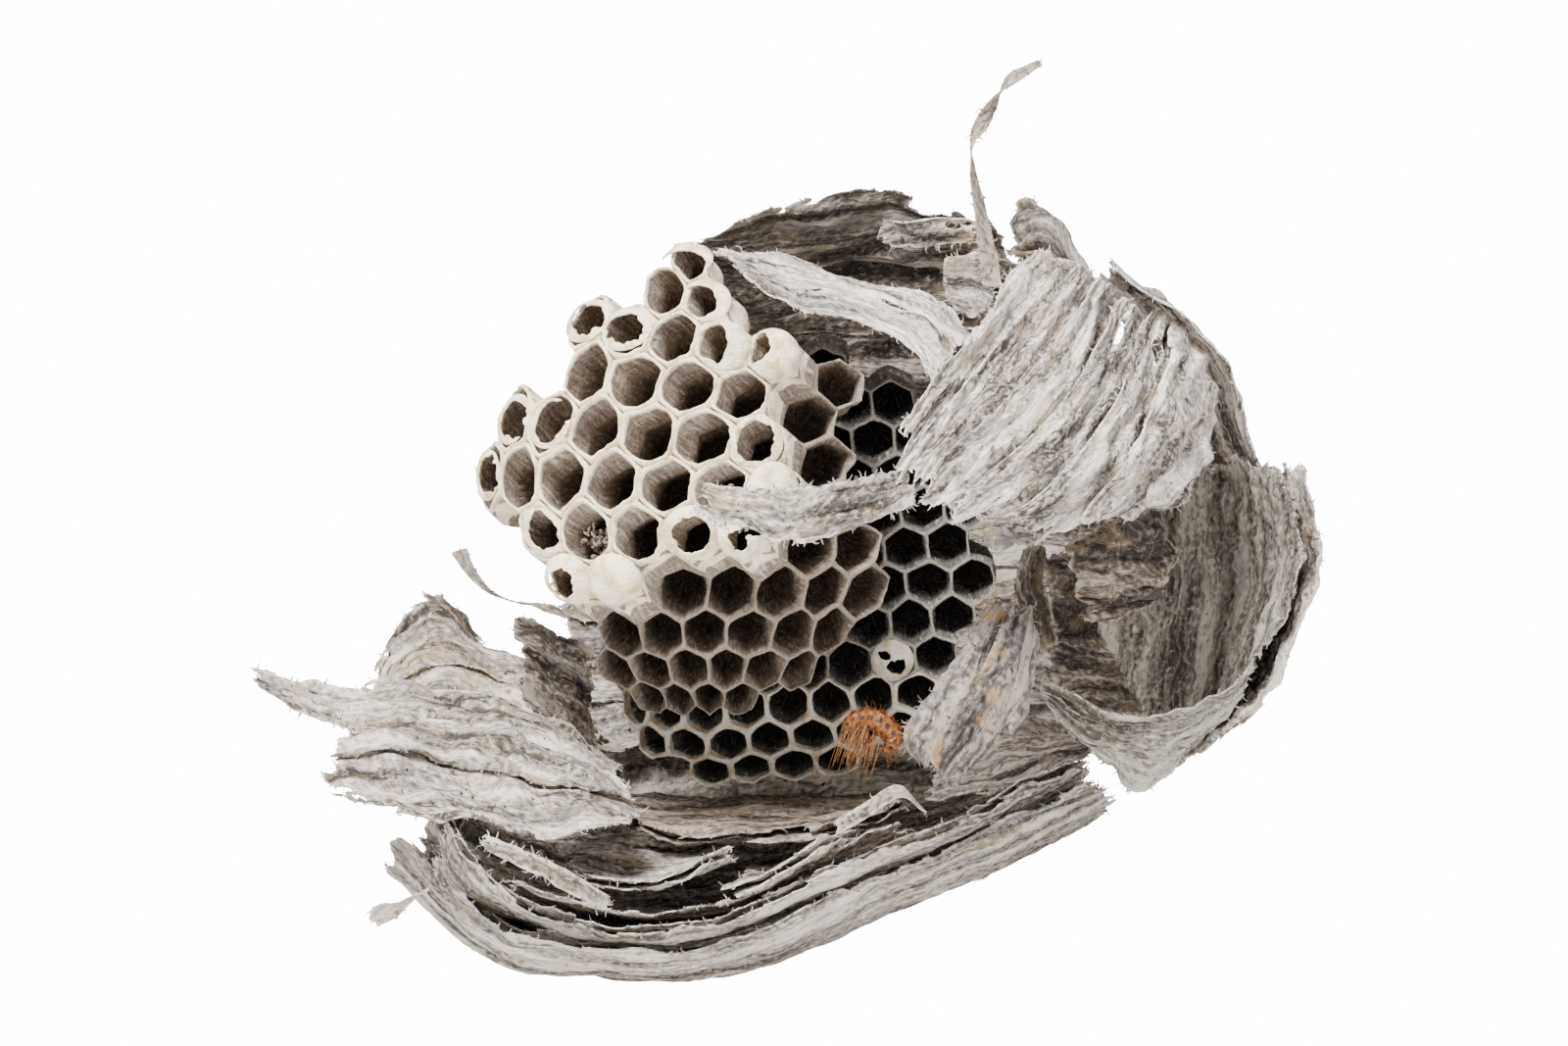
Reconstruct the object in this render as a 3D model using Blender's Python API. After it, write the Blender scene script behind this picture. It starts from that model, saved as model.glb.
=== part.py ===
"""The torn remains of an aerial paper wasp nest, lying on its side.

Two combs of hexagonal paper cells stand one behind the other with their mouths forward. Around them lie the
torn sheets of the grey envelope. Every sheet, comb, cap and ribbon is one closed solid of its own.

Everything is first described in the nest's own frame, in millimetres: across (to the right), up, and out
(towards the open mouths of the combs). The nest then leans back by LEAN, so that the underside of its
outermost sheet rests on the ground plane, with the origin in the middle of the flat it rests on.
"""

import math

import bmesh
import bpy
import numpy as np
from mathutils import Matrix, Vector

MM = 0.001
LEAN = math.radians(20.0)
REST_ACROSS, REST_UP, REST_OUT = -8.0, -47.2, -15.8
PAPER = 0.8
HALF_PAPER = PAPER / 2.0

# The back of the envelope follows one ellipsoid, with each sheet a little further out than the last.
BACK_CENTRE = (8.0, -4.0, -8.0)
BACK_RADII = (52.0, 50.0, 40.0)

FINISHES = {
    "grey_paper": ((0.42, 0.38, 0.35), 0.9),
    "brown_paper": ((0.17, 0.13, 0.10), 0.9),
    "comb_paper": ((0.24, 0.20, 0.17), 0.85),
    "silk": ((0.80, 0.76, 0.66), 0.6),
    "cast_skin": ((0.62, 0.26, 0.05), 0.5),
}

# Control points of the envelope's sheets, as rows of (across, up, out).
SHEETS = {
    "right_wing": (
        "grey_paper",
        (9, 6),
        (
            ((30, 32, -2), (25, 26.6, 8), (20.7, 20.5, 18), (16.4, 15, 27), (12.4, 10, 33)),
            ((35, 29, -2), (28.4, 20.8, 11), (22, 13.6, 23), (16.2, 7.9, 32), (12.8, 3.5, 37)),
            ((38.7, 26.2, -4), (33, 17.3, 12), (26.4, 10.2, 25), (19.4, 4.6, 34), (13.9, 0, 38)),
            ((43, 24, -6), (38.8, 15.2, 9), (33.2, 8.1, 22), (27, 2.5, 32), (21.5, -0.2, 36)),
            ((47.5, 23, -10), (44.4, 14.2, 4), (40.5, 8.2, 15), (35.3, 2, 24), (30.5, -2.6, 29)),
            ((54, 16, -16), (52, 11, -8), (49.4, 6.7, 0), (45, 2, 8), (39.4, -0.8, 15)),
        ),
    ),
    "wing_tongue": (
        "grey_paper",
        (7, 2),
        (
            ((-9.5, 4.8, 36), (-4.3, 3.5, 38), (3.2, 3.7, 38.5), (8.5, 4.9, 36.5), (13.5, 6, 32)),
            ((-10.2, 1.4, 36), (-4.3, -1.3, 39), (1.1, -2.4, 39.5), (7.5, -0.7, 36.5), (14, 1.4, 32.5)),
        ),
    ),
    "bridge_sheet": (
        "grey_paper",
        (7, 3),
        (
            ((-8.3, 31.9, 5), (0, 31.5, 0), (9.3, 29, -2), (17.4, 26.5, 0), (21.3, 23, 4)),
            ((-6.2, 30, 12), (1.1, 27.7, 10), (9.1, 26, 9), (15.9, 22.8, 11), (19, 19.8, 12)),
            ((-4.5, 27.8, 17), (1.1, 24.4, 17), (9, 23.4, 15), (14.6, 19.9, 16), (16.2, 16, 19)),
        ),
    ),
    "crest_crumple": (
        "grey_paper",
        (4, 3),
        (
            ((27, 39.5, -19), (32.1, 37.4, -16), (36, 33, -12)),
            ((27.5, 35, -14), (31.8, 35.5, -10), (36.5, 30.5, -9)),
            ((27.7, 31.5, -11), (31.6, 31.8, -9), (35.2, 29.2, -7)),
        ),
    ),
    "roof_patch": (
        "grey_paper",
        (4, 2),
        (
            ((12.9, 37, -19), (18, 37.5, -19), (23.5, 37, -18)),
            ((11.4, 33.8, -21), (17.5, 34.4, -21), (23, 34.6, -19)),
        ),
    ),
    "inner_fold": (
        "grey_paper",
        (3, 3),
        (
            ((20.8, 32.6, -16), (22.8, 33, -17), (24.6, 32.6, -14)),
            ((20.4, 29, -12), (22.4, 29, -13), (24.2, 28.3, -10)),
            ((21, 26.2, -6), (22.4, 26, -7), (23.6, 26, -5)),
        ),
    ),
    "right_band": (
        "grey_paper",
        (6, 4),
        (
            ((41, 29.4, -9), (47.4, 25.4, -12), (54.6, 17.6, -18), (57.4, 10, -20)),
            ((41, 30, -19), (47, 25, -22), (53.2, 17.6, -27), (56.4, 10, -29)),
            ((38.5, 28, -30), (44, 23.6, -33), (49, 17, -37), (51.4, 10, -39)),
        ),
    ),
    "cup_wall": (
        "grey_paper",
        (7, 5),
        (
            ((44, 4.1, -33), (51, 4.7, -30.5), (57.2, 5.2, -21), (60, 4.5, -8)),
            ((43.6, -4.7, -37), (52.4, -4.7, -34), (59, -3.9, -24), (61.8, -3.2, -9)),
            ((42.6, -14.8, -37), (51.4, -14.7, -34), (57.6, -13.1, -24), (60, -10.3, -9)),
            ((41, -22.8, -32.6), (48.2, -23, -29), (54, -20.6, -20), (56.4, -17.7, -9)),
            ((40.2, -27.8, -26), (44.4, -28.6, -19), (49, -25.6, -14), (52.8, -21.8, -8)),
        ),
    ),
    "cup_skin": (
        "grey_paper",
        (7, 4),
        (
            ((61.8, 6.4, -4), (59.6, 7, -21.6), (53, 7, -33)),
            ((63.8, -3, -5), (61.6, -4, -25.6), (54.4, -5, -36.8)),
            ((62.2, -11, -5.6), (59.8, -14, -25.6), (53.2, -15.8, -37)),
            ((58.6, -19, -5.6), (56, -22.2, -21.6), (49.8, -25, -31.8)),
            ((54.8, -23.6, -4.4), (50.6, -27.8, -14.8), (45.6, -31, -21)),
        ),
    ),
    "pocket_fold": (
        "grey_paper",
        (7, 3),
        (
            ((29.3, -16.6, 14), (33.8, -19.9, 15), (41.9, -22, 12), (50.7, -19.6, 4), (54.6, -16.8, 0)),
            ((31.3, -21, 10), (36.4, -24.3, 10), (43.6, -25.7, 6), (51.3, -22.6, -1), (55, -19.4, -3)),
            ((35.5, -26, 3), (38.8, -28.4, 2), (42.4, -30.5, 0), (48.1, -27, -4), (52, -23.6, -5.5)),
        ),
    ),
    "side_strip": (
        "brown_paper",
        (4, 2),
        (
            ((27.8, -2.5, 12), (26.2, -7.6, 14), (27, -11.5, 14), (28.6, -14.6, 14.5)),
            ((30.4, -2.8, 11), (29.9, -7.6, 12.6), (31, -11.5, 12), (31.8, -15, 13)),
        ),
    ),
    "leaf_flap": (
        "grey_paper",
        (6, 3),
        (
            ((23.2, -9.4, 17), (20, -14.1, 21), (15.6, -20, 24), (13.4, -24.2, 25), (15.4, -27.4, 25)),
            ((26.6, -9.7, 18.5), (24.4, -16.3, 22.4), (20.7, -22.6, 25.4), (17.3, -26.8, 26), (17.1, -29.4, 25.8)),
            ((29.6, -12, 17.5), (28.9, -17.7, 19.6), (26.1, -23.6, 22.6), (22.3, -28, 23.8), (19.5, -30.3, 24.6)),
        ),
    ),
    "curtain": (
        "brown_paper",
        (4, 4),
        (
            ((32.6, 1, 15), (38.5, 2.2, 10), (44.6, 3, 0)),
            ((32.1, -4.2, 15), (38.6, -3.6, 10), (45.8, -2.6, -1)),
            ((34.5, -8.7, 13), (39.3, -8.2, 9.4), (45.2, -7.4, 0)),
            ((35.1, -12.1, 12), (38.8, -11.1, 9), (44.3, -9.4, 1.6)),
        ),
    ),
    "partition": (
        "brown_paper",
        (3, 4),
        (
            ((31.7, -3.5, -3), (36.8, -4, -10)),
            ((32.3, -12.6, -3), (38.6, -13.4, -10)),
            ((33.3, -19.5, -2), (41.2, -20.6, -8)),
        ),
    ),
    "left_flap": (
        "grey_paper",
        (7, 4),
        (
            ((-52.3, -19.8, 5), (-42.8, -19.3, 2), (-33.7, -20.8, 0), (-26, -24.7, 1), (-20.1, -28, 6)),
            ((-54.3, -24, 12), (-44.3, -24.1, 10), (-34.1, -25.8, 9), (-25, -28.9, 9.6), (-18.1, -31.2, 13)),
            ((-53.4, -29.9, 18), (-44.7, -29.9, 18), (-35.8, -31.4, 18), (-26.8, -33.4, 18), (-17.9, -33.8, 19)),
            ((-47, -33, 23), (-41.5, -33.6, 23.6), (-33.1, -33.8, 23.6), (-26, -35.4, 23), (-19.4, -35.4, 22.6)),
        ),
    ),
    "left_tongue": (
        "grey_paper",
        (4, 2),
        (
            ((-64.3, -17.2, -8), (-59, -18.6, -6), (-53, -19.6, -4)),
            ((-63.4, -19.6, -7), (-58.2, -22.3, -4.6), (-51.6, -24.4, -3)),
        ),
    ),
    "left_wall": (
        "brown_paper",
        (6, 3),
        (
            ((-52, -20, -21), (-49, -12.5, -23), (-44.5, -9.5, -25), (-38, -13, -26), (-31, -15, -25)),
            ((-50, -25, -15), (-47, -20, -17), (-42, -18, -19), (-36.4, -20, -20), (-30, -21, -19)),
            ((-46, -29, -8), (-43, -26.5, -9), (-38.6, -25.6, -11), (-34, -26, -12), (-29, -26.5, -12)),
        ),
    ),
    "left_inner_fold": (
        "brown_paper",
        (4, 3),
        (
            ((-30.5, -12.6, -18), (-26, -14.4, -18)),
            ((-29.6, -19.4, -9), (-25, -22.6, -14)),
            ((-28.4, -26, -5), (-23.4, -29.6, -8)),
        ),
    ),
    "ledge_upper": (
        "brown_paper",
        (6, 3),
        (
            ((-20, -33, -14), (-10, -33.4, -14), (2, -33.4, -14), (12, -32.6, -14), (15.5, -31.4, -12)),
            ((-19, -34.2, -2), (-10, -34.8, -2), (2, -34.8, -2), (11, -34, -2), (15, -32, -2)),
            ((-16.8, -35, 10), (-10.2, -36, 11), (0, -35.4, 12), (8, -34.2, 11), (13.8, -32.4, 9)),
        ),
    ),
    "ledge_left": (
        "grey_paper",
        (5, 3),
        (
            ((-24.5, -37.6, 4), (-18, -38, 3), (-12, -38.2, 3), (-7, -38, 4)),
            ((-24.8, -39, 12), (-18, -39.8, 12), (-11.6, -39.4, 13), (-6.4, -38.2, 13)),
            ((-23.4, -40.6, 20), (-16.7, -41, 21), (-11.1, -39.4, 21), (-6.6, -36.6, 20)),
        ),
    ),
    "ledge_right": (
        "grey_paper",
        (5, 3),
        (
            ((-4.6, -40, 2), (-1, -39.8, 1), (5, -38.2, 1), (10, -36.4, 0)),
            ((-4.8, -40.8, 10), (0, -40, 10), (5.4, -37.8, 10), (9.6, -35.6, 8)),
            ((-8.4, -42.2, 20.5), (-3.4, -40.8, 19.6), (1, -38.4, 18.6), (4.7, -36, 17)),
        ),
    ),
    "narrow_strip": (
        "grey_paper",
        (4, 1),
        (
            ((5.4, -34, 19), (8.9, -31.9, 19), (12.6, -29.8, 19), (15, -31.6, 18)),
            ((6, -35.2, 19.4), (9.6, -33.1, 19.4), (13.2, -31, 19.4), (15.8, -32.6, 18.4)),
        ),
    ),
    "floor_sheet": (
        "grey_paper",
        (5, 3),
        (
            ((18.8, -26.7, -5), (25, -25.4, -8), (31.5, -25.8, -13)),
            ((17.6, -30, 4), (25, -28.6, 0), (32, -27.6, -6)),
            ((16.8, -32, 9.4), (24.6, -30.4, 6), (31.2, -28.8, 0.6)),
        ),
    ),
    "front_scroll": (
        "grey_paper",
        (5, 1),
        (
            ((-34.1, -34.6, 28), (-28.3, -36.8, 29), (-22.9, -39.7, 29), (-19.1, -42, 28)),
            ((-33.8, -36.2, 29), (-28.3, -38.9, 30), (-23.4, -41.4, 30), (-20.2, -43, 29)),
        ),
    ),
    "hull_inner": (
        "grey_paper",
        (7, 3),
        (
            ((-32, -41, 23.6), (-26, -43, 23.6), (-17.7, -44.6, 22), (-8.9, -44.3, 20), (-1.1, -42, 18),
             (5.6, -38.6, 15), (13.4, -35.2, 12)),
            ((-31.5, -41.4, 10), (-26, -43.6, 9), (-17.5, -45.2, 8), (-9, -45.2, 7), (-0.5, -43.6, 5),
             (7, -40.4, 2), (14.6, -37.4, 0)),
            ((-31, -37.6, -4), (-25.6, -40.4, -9), (-17, -41, -11), (-9, -41, -12), (0, -41, -12),
             (8, -39.8, -13), (15.4, -37.6, -15)),
        ),
    ),
    "hull_middle": (
        "grey_paper",
        (9, 4),
        (
            ((-38.4, -31.6, 30), (-36, -38.5, 27), (-29.6, -43.8, 26), (-22.1, -46.4, 24), (-12.2, -46.9, 22),
             (-2.2, -44.4, 20), (7.8, -40, 17), (18, -36.2, 14), (27.4, -32.8, 8), (35, -29.6, 1)),
            ((-41, -38.2, 14), (-38.5, -42, 14), (-29.5, -46.4, 12), (-21, -48, 11), (-12, -48.4, 10),
             (-1.5, -46.4, 8), (9.3, -42.6, 5), (19.7, -38.8, 2), (29, -34.6, -4), (36.4, -30.2, -12)),
            ((-40.6, -36, 0), (-38.2, -40, -4), (-29, -43.8, -8), (-20, -44.2, -9), (-11, -44.3, -10),
             (0, -43.8, -10), (11, -42, -11), (21, -39.2, -14), (30, -35.8, -19), (37, -31.6, -26)),
            ((-37.6, -27, -14), (-35.6, -33, -20), (-28, -36.6, -24), (-20, -36.6, -26), (-11, -36.6, -27),
             (0, -36.4, -28), (11, -36, -28), (21, -35, -29), (29, -32.6, -31), (35, -30, -34)),
        ),
    ),
    "hull_outer": (
        "grey_paper",
        (10, 6),
        (
            ((-43.4, -36.5, 17), (-33.2, -47, 23), (-22.2, -49.6, 22), (-12.2, -50, 20), (-2.2, -47.8, 18),
             (7.9, -43, 15), (18.1, -39.2, 12), (27.6, -35.6, 6), (36.8, -32.4, -2)),
            ((-45, -41.4, 7), (-33, -50.4, 9), (-21, -52, 8), (-12, -52.5, 7), (-1, -50.8, 5), (10, -46.4, 2),
             (20.5, -42.4, -1), (30, -38.4, -7), (39, -34, -14)),
            ((-44, -40.6, -6), (-32, -48.3, -10), (-20, -49, -12), (-11, -49, -13), (0, -49, -13), (11, -46.6, -14),
             (21.5, -43.4, -17), (31, -40, -22), (39.4, -36, -28)),
            ((-42, -34, -20), (-32, -42, -30), (-20, -42, -33), (-11, -42, -34), (0, -42, -34), (11, -41.6, -34),
             (21.5, -41, -34), (31, -39.4, -35), (38.6, -36.6, -38)),
            ((-38, -22, -30), (-29, -23, -42), (-20, -22, -47.5), (-11, -21, -50), (0, -20, -51.4), (11, -20, -51.4),
             (21.5, -21, -50), (30, -22, -48), (37.5, -24, -44)),
        ),
    ),
}

# Sheets of the envelope's back: how far outside the ellipsoid, then how far each reaches round it, in degrees:
# from left to right, from bottom to top, and how much higher the middle of its top edge stands.
BACK_SHEETS = {
    "back_roof": (-2.6, (-42, 46), (14, 60), 9),
    "back_left": (-0.4, (-48, 4), (-30, 30), 2),
    "back_right": (2.2, (-8, 43), (-21, 24), 2),
}
BACK_GRID = (8, 5)

# The twisted ribbon of paper that stands up from the crest: (across, up, out, width, twist in degrees).
RIBBON = (
    (24.6, 27.6, 3, 2.2, 0),
    (24.4, 30.6, 1, 2.0, 10),
    (23.6, 35.8, 0, 1.6, 25),
    (22.6, 41, 0, 1.1, 50),
    (22.3, 44.8, 0, 0.9, 110),
    (23.6, 47.4, -1, 1.6, 190),
    (25.4, 50.6, -2, 2.2, 250),
    (27.3, 52.9, -2, 1.6, 320),
    (30.5, 54.9, -3, 0.8, 350),
)
CURL = (
    (-40, -3, -17, 1.6, 0),
    (-38.4, -6, -17, 1.2, 40),
    (-35.6, -8.6, -16, 1.2, 80),
    (-31.4, -9.8, -15, 1.6, 100),
)
SCRAP_LEFT = (
    (-47.6, -46.4, 12, 1.2, 0),
    (-46, -45, 13, 2.2, 30),
    (-43.4, -43.6, 15, 1.4, 50),
)
SCRAP_RIBBONS = {"crest_ribbon": RIBBON, "left_curl": CURL, "left_scrap": SCRAP_LEFT}

# The front comb bulges: rows of cells, each as its first column and a letter for each cell.
# s silk-rimmed, b bare brown paper, c capped, t torn cap.
FRONT_ROWS = (
    (2.0, "s"),
    (1.5, "ss"),
    (0.0, "sssscb"),
    (0.5, "ssssb"),
    (-1.0, "ssssssb"),
    (-1.5, "sssssscb"),
    (0.0, "sssstbb"),
    (0.5, "tcbbbbb"),
    (1.0, "bbbbbb"),
    (0.5, "bbbbbb"),
    (1.0, "bbbb"),
)
FRONT_MIDDLE_COLUMN, FRONT_MIDDLE_ROW = 2.5, 4.5
FRONT_CENTRE = (-11.4, 5.3, 26.0)
FRONT_COLUMN_PITCH, FRONT_ROW_PITCH = 6.2, 5.5
FRONT_LEFT_RADIUS, FRONT_RIGHT_RADIUS, FRONT_UP_RADIUS = 24.0, 38.0, 31.5
FRONT_DEPTH = 14.0
# The dome's top right corner hangs over: its rows above OVERHANG_ROW fall by this much more for each column.
OVERHANG_ROW, OVERHANG_RATE = 1.5, 0.009
# Rows drift to the right above UPPER_DRIFT_ROW, up to a limit of rows, and below LOWER_DRIFT_ROW.
UPPER_DRIFT_ROW, UPPER_DRIFT, UPPER_DRIFT_LIMIT = 0.5, 1.25, 3.6
LOWER_DRIFT_ROW, LOWER_DRIFT = 3.5, 0.5
# Cells run back between the dome's own normal and straight back, and lose depth towards the comb's edge.
NORMAL_SHARE, STRAIGHT_SHARE = 0.4, 0.6
EDGE_DEPTH_LOSS, EDGE_DISTANCE_SQUARED = 0.4, 30.0
# The tubes that silk makes longer stand this much higher, and lean this way.
SILK_STEP = 4.0
SILK_LEAN = (-0.5, 0.45, 0.9)

# The rear comb is flat: a round plate of cells, tipped a little down and turned a little in its own plane.
REAR_CENTRE = (-1.0, -4.5, -1.0)
REAR_PITCH = 5.14
REAR_REACH_LEFT, REAR_REACH_RIGHT, REAR_REACH_UP = 27.5, 25.2, 27.0
REAR_BEND_START, REAR_BEND_RADIUS = -8.0, 14.0
# Rows below the last flat one draw together and curl back, by this much for each row.
REAR_LAST_FLAT_ROW = 5
REAR_ROW_SHRINK, REAR_CURL = 0.25, 1.2
# The middle of the rounded outline, in columns and rows, and the widest the lattice is searched for cells.
REAR_MIDDLE_COLUMN, REAR_MIDDLE_ROW = -0.2, 0.3
REAR_SEARCH = 8
ROW_RATIO = math.sqrt(0.75)
REAR_DIP = math.radians(12.0)
REAR_TURN = math.radians(5.0)
REAR_DEPTH = 11.0

CELL_WALL = 0.42
CELL_FLOOR_SHARE = 0.72
CELL_BACK_WALL = 1.2
# The corners of one cell, in columns and rows from its middle.
CORNERS = ((0.0, -2 / 3), (0.5, -1 / 3), (0.5, 1 / 3), (0.0, 2 / 3), (-0.5, 1 / 3), (-0.5, -1 / 3))

# Silk caps: how far each stands clear of the mouth, and its outline as shares of its width and height.
CAP_GAP = 0.6
CAP_SIDES = 8
CAP_RINGS = ((1.0, 0.0), (0.96, 0.45), (0.62, 0.86))
CAP_NEARBY = 0.3
FRONT_CAP_BULGE, FRONT_CAP_WIDTH = 2.6, 5.4
REAR_CAP_COLUMN, REAR_CAP_ROW = 2.5, 3
REAR_CAP_BULGE, REAR_CAP_WIDTH = 1.4, 4.2
TUBE_SIDES = 8
TUBE_SEAM = (0.1, 0.2, 1.0)

# Paper posts that hold the front comb to the rear comb, and the thicker stalk that holds the rear comb to the
# envelope's back: the points of each, and its radius at each point.
POSTS = {
    "comb_post_left": (((-17.2, 8.6, 8.8), (-17.4, 9, 5), (-17.3, 9.1, 1.1)), (2, 1.3, 1.8)),
    "comb_post_right": (((-3.4, 10.6, 10.2), (-2.6, 8.6, 6.6), (-1.9, 7, 2.9)), (2, 1.3, 1.8)),
    "comb_post_lower": (((-8.7, -11.8, 6.4), (-8.4, -12.6, 2.8), (-8, -13.4, -1.4)), (1.8, 1.3, 1.8)),
    "comb_stalk": (((1, -1.5, -13.8), (2.5, -1, -28), (4, -0.5, -45.8)), (4.2, 2.6, 3.4)),
}

# The empty skin that a grub shed: a curled body of soft rings, lying against the rear comb.
SKIN_PATH = ((6.6, -24.2, 7.6), (8.6, -22.9, 8.4), (11, -23.1, 8.8), (12.6, -25, 8.6), (11.6, -27, 8.2))
SKIN_RADII = (0.7, 1.5, 1.9, 1.6, 0.8)


def clear_scene():
    for obj in list(bpy.data.objects):
        bpy.data.objects.remove(obj)


def finish(name):
    """The material of that name, made on first use."""
    found = bpy.data.materials.get(name)
    if found:
        return found
    colour, roughness = FINISHES[name]
    made = bpy.data.materials.new(name)
    made.use_nodes = True
    shader = made.node_tree.nodes["Principled BSDF"]
    shader.inputs["Base Color"].default_value = (*colour, 1.0)
    shader.inputs["Roughness"].default_value = roughness
    shader.inputs["Metallic"].default_value = 0.0
    return made


def leaned(point):
    """A point of the nest's frame, in millimetres, as it lies on the ground."""
    across, up, out = point
    rest = (REST_ACROSS, REST_UP, REST_OUT)
    across, up, out = across - rest[0], up - rest[1], out - rest[2]
    depth = up * math.sin(LEAN) - out * math.cos(LEAN)
    height = up * math.cos(LEAN) + out * math.sin(LEAN)
    return Vector((across, depth, height))


def add_object(name, shell, material):
    """Puts a bmesh in the scene, in metres, with its faces turned outwards."""
    bmesh.ops.recalc_face_normals(shell, faces=shell.faces)
    bmesh.ops.scale(shell, vec=(MM, MM, MM), verts=shell.verts)
    mesh = bpy.data.meshes.new(name)
    shell.to_mesh(mesh)
    shell.free()
    mesh.shade_smooth()
    mesh.set_sharp_from_angle(angle=math.radians(40.0))
    mesh.materials.append(finish(material))
    made = bpy.data.objects.new(name, mesh)
    bpy.context.scene.collection.objects.link(made)
    return made


def catmull_rom(points, share):
    """The point a share of the way along a smooth curve through the given points."""
    spans = len(points) - 1
    place = min(share * spans, spans - 1e-9)
    i = int(place)
    t = place - i
    b, c = points[i], points[i + 1]
    a = points[i - 1] if i > 0 else 2 * b - c
    d = points[i + 2] if i + 2 <= spans else 2 * c - b
    return 0.5 * (2 * b + (c - a) * t + (2 * a - 5 * b + 4 * c - d) * t**2 + (3 * b - a - 3 * c + d) * t**3)


def surface(net, along, across):
    """A grid of points on the smooth surface through a net of control points."""
    rows = [np.array(row, float) for row in net]
    grid = []
    for j in range(across + 1):
        line = []
        for i in range(along + 1):
            column = [catmull_rom(row, i / along) for row in rows]
            line.append(catmull_rom(column, j / across))
        grid.append(line)
    return np.array(grid)


def grid_normals(grid):
    along = np.gradient(grid, axis=1)
    across = np.gradient(grid, axis=0)
    normals = np.cross(along, across)
    return normals / np.linalg.norm(normals, axis=2, keepdims=True)


def thick_sheet(name, grid, material, lowest=None):
    """A closed sheet of paper along a grid of points, pressed flat at height lowest where it would go below."""
    placed = np.array([[leaned(point) for point in line] for line in grid])
    normals = grid_normals(placed)
    faces_of_paper = [placed + normals * HALF_PAPER, placed - normals * HALF_PAPER]
    if lowest is not None:
        faces_of_paper.sort(key=lambda side: -side[..., 2].mean())
        faces_of_paper[0][..., 2] = np.maximum(faces_of_paper[0][..., 2], lowest + PAPER)
        faces_of_paper[1][..., 2] = np.maximum(faces_of_paper[1][..., 2], lowest)
    shell = bmesh.new()
    top, bottom = (
        [[shell.verts.new(point) for point in line] for line in side] for side in faces_of_paper
    )
    rows, columns = len(top) - 1, len(top[0]) - 1
    for side in (top, bottom):
        for j in range(rows):
            for i in range(columns):
                shell.faces.new((side[j][i], side[j][i + 1], side[j + 1][i + 1], side[j + 1][i]))
    rim = [(0, i) for i in range(columns)] + [(j, columns) for j in range(rows)]
    rim += [(rows, i) for i in range(columns, 0, -1)] + [(j, 0) for j in range(rows, 0, -1)]
    for k, (j, i) in enumerate(rim):
        after_j, after_i = rim[(k + 1) % len(rim)]
        shell.faces.new((top[j][i], top[after_j][after_i], bottom[after_j][after_i], bottom[j][i]))
    return add_object(name, shell, material)


def ribbon_grid(stations):
    """The two long edges of a narrow ribbon of changing width that twists about its own length."""
    points = np.array(stations, float)
    path = points[:, :3]
    ahead = np.gradient(path, axis=0)
    lines = []
    for side in (-0.5, 0.0, 0.5):
        line = []
        for place, direction, width, twist in zip(path, ahead, points[:, 3], points[:, 4]):
            edge = Matrix.Rotation(math.radians(twist), 3, Vector(direction)) @ Vector((0.0, 0.0, 1.0)).cross(
                Vector(direction)
            ).normalized()
            line.append(place + np.array(edge) * width * side)
        lines.append(line)
    return np.array(lines)


def back_grid(offset, sideways, upward, crown):
    """A grid of points round the ellipsoid of the envelope's back."""
    columns, rows = BACK_GRID
    grid = []
    for j in range(rows + 1):
        line = []
        for i in range(columns + 1):
            top = upward[1] + crown * math.sin(math.pi * i / columns)
            rise = math.radians(upward[0] + (top - upward[0]) * j / rows)
            turn = math.radians(sideways[0] + (sideways[1] - sideways[0]) * i / columns)
            way = (math.sin(turn) * math.cos(rise), math.sin(rise), -math.cos(turn) * math.cos(rise))
            line.append([c + (r + offset) * w for c, r, w in zip(BACK_CENTRE, BACK_RADII, way)])
        grid.append(line)
    return np.array(grid)


def front_point(column, row, depth):
    """A point of the front comb: a place in its lattice, and how deep below the silk-rimmed mouths it lies."""
    c = column - FRONT_MIDDLE_COLUMN
    t = row - FRONT_MIDDLE_ROW
    radius = FRONT_LEFT_RADIUS if c < 0 else FRONT_RIGHT_RADIUS
    side = c * FRONT_COLUMN_PITCH / radius
    overhang = OVERHANG_RATE * c * max(0.0, OVERHANG_ROW - t)
    fall = t * FRONT_ROW_PITCH / FRONT_UP_RADIUS + overhang
    outward = np.array((math.sin(side) * math.cos(fall), -math.sin(fall), math.cos(side) * math.cos(fall)))
    drift = UPPER_DRIFT * min(UPPER_DRIFT_LIMIT, max(0.0, UPPER_DRIFT_ROW - t))
    drift += LOWER_DRIFT * max(0.0, t - LOWER_DRIFT_ROW)
    swell = radius * outward[2] + (FRONT_UP_RADIUS - radius) * math.cos(fall) - FRONT_UP_RADIUS
    base = np.array(FRONT_CENTRE) + (radius * outward[0] + drift, FRONT_UP_RADIUS * outward[1], swell)
    if depth <= SILK_STEP:
        return base + np.array(SILK_LEAN) * (SILK_STEP - depth)
    axis = NORMAL_SHARE * outward + (0.0, 0.0, STRAIGHT_SHARE)
    shallower = 1.0 - EDGE_DEPTH_LOSS * min(1.0, (c * c + t * t) / EDGE_DISTANCE_SQUARED)
    return base - axis / np.linalg.norm(axis) * (depth - SILK_STEP) * shallower


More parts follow.
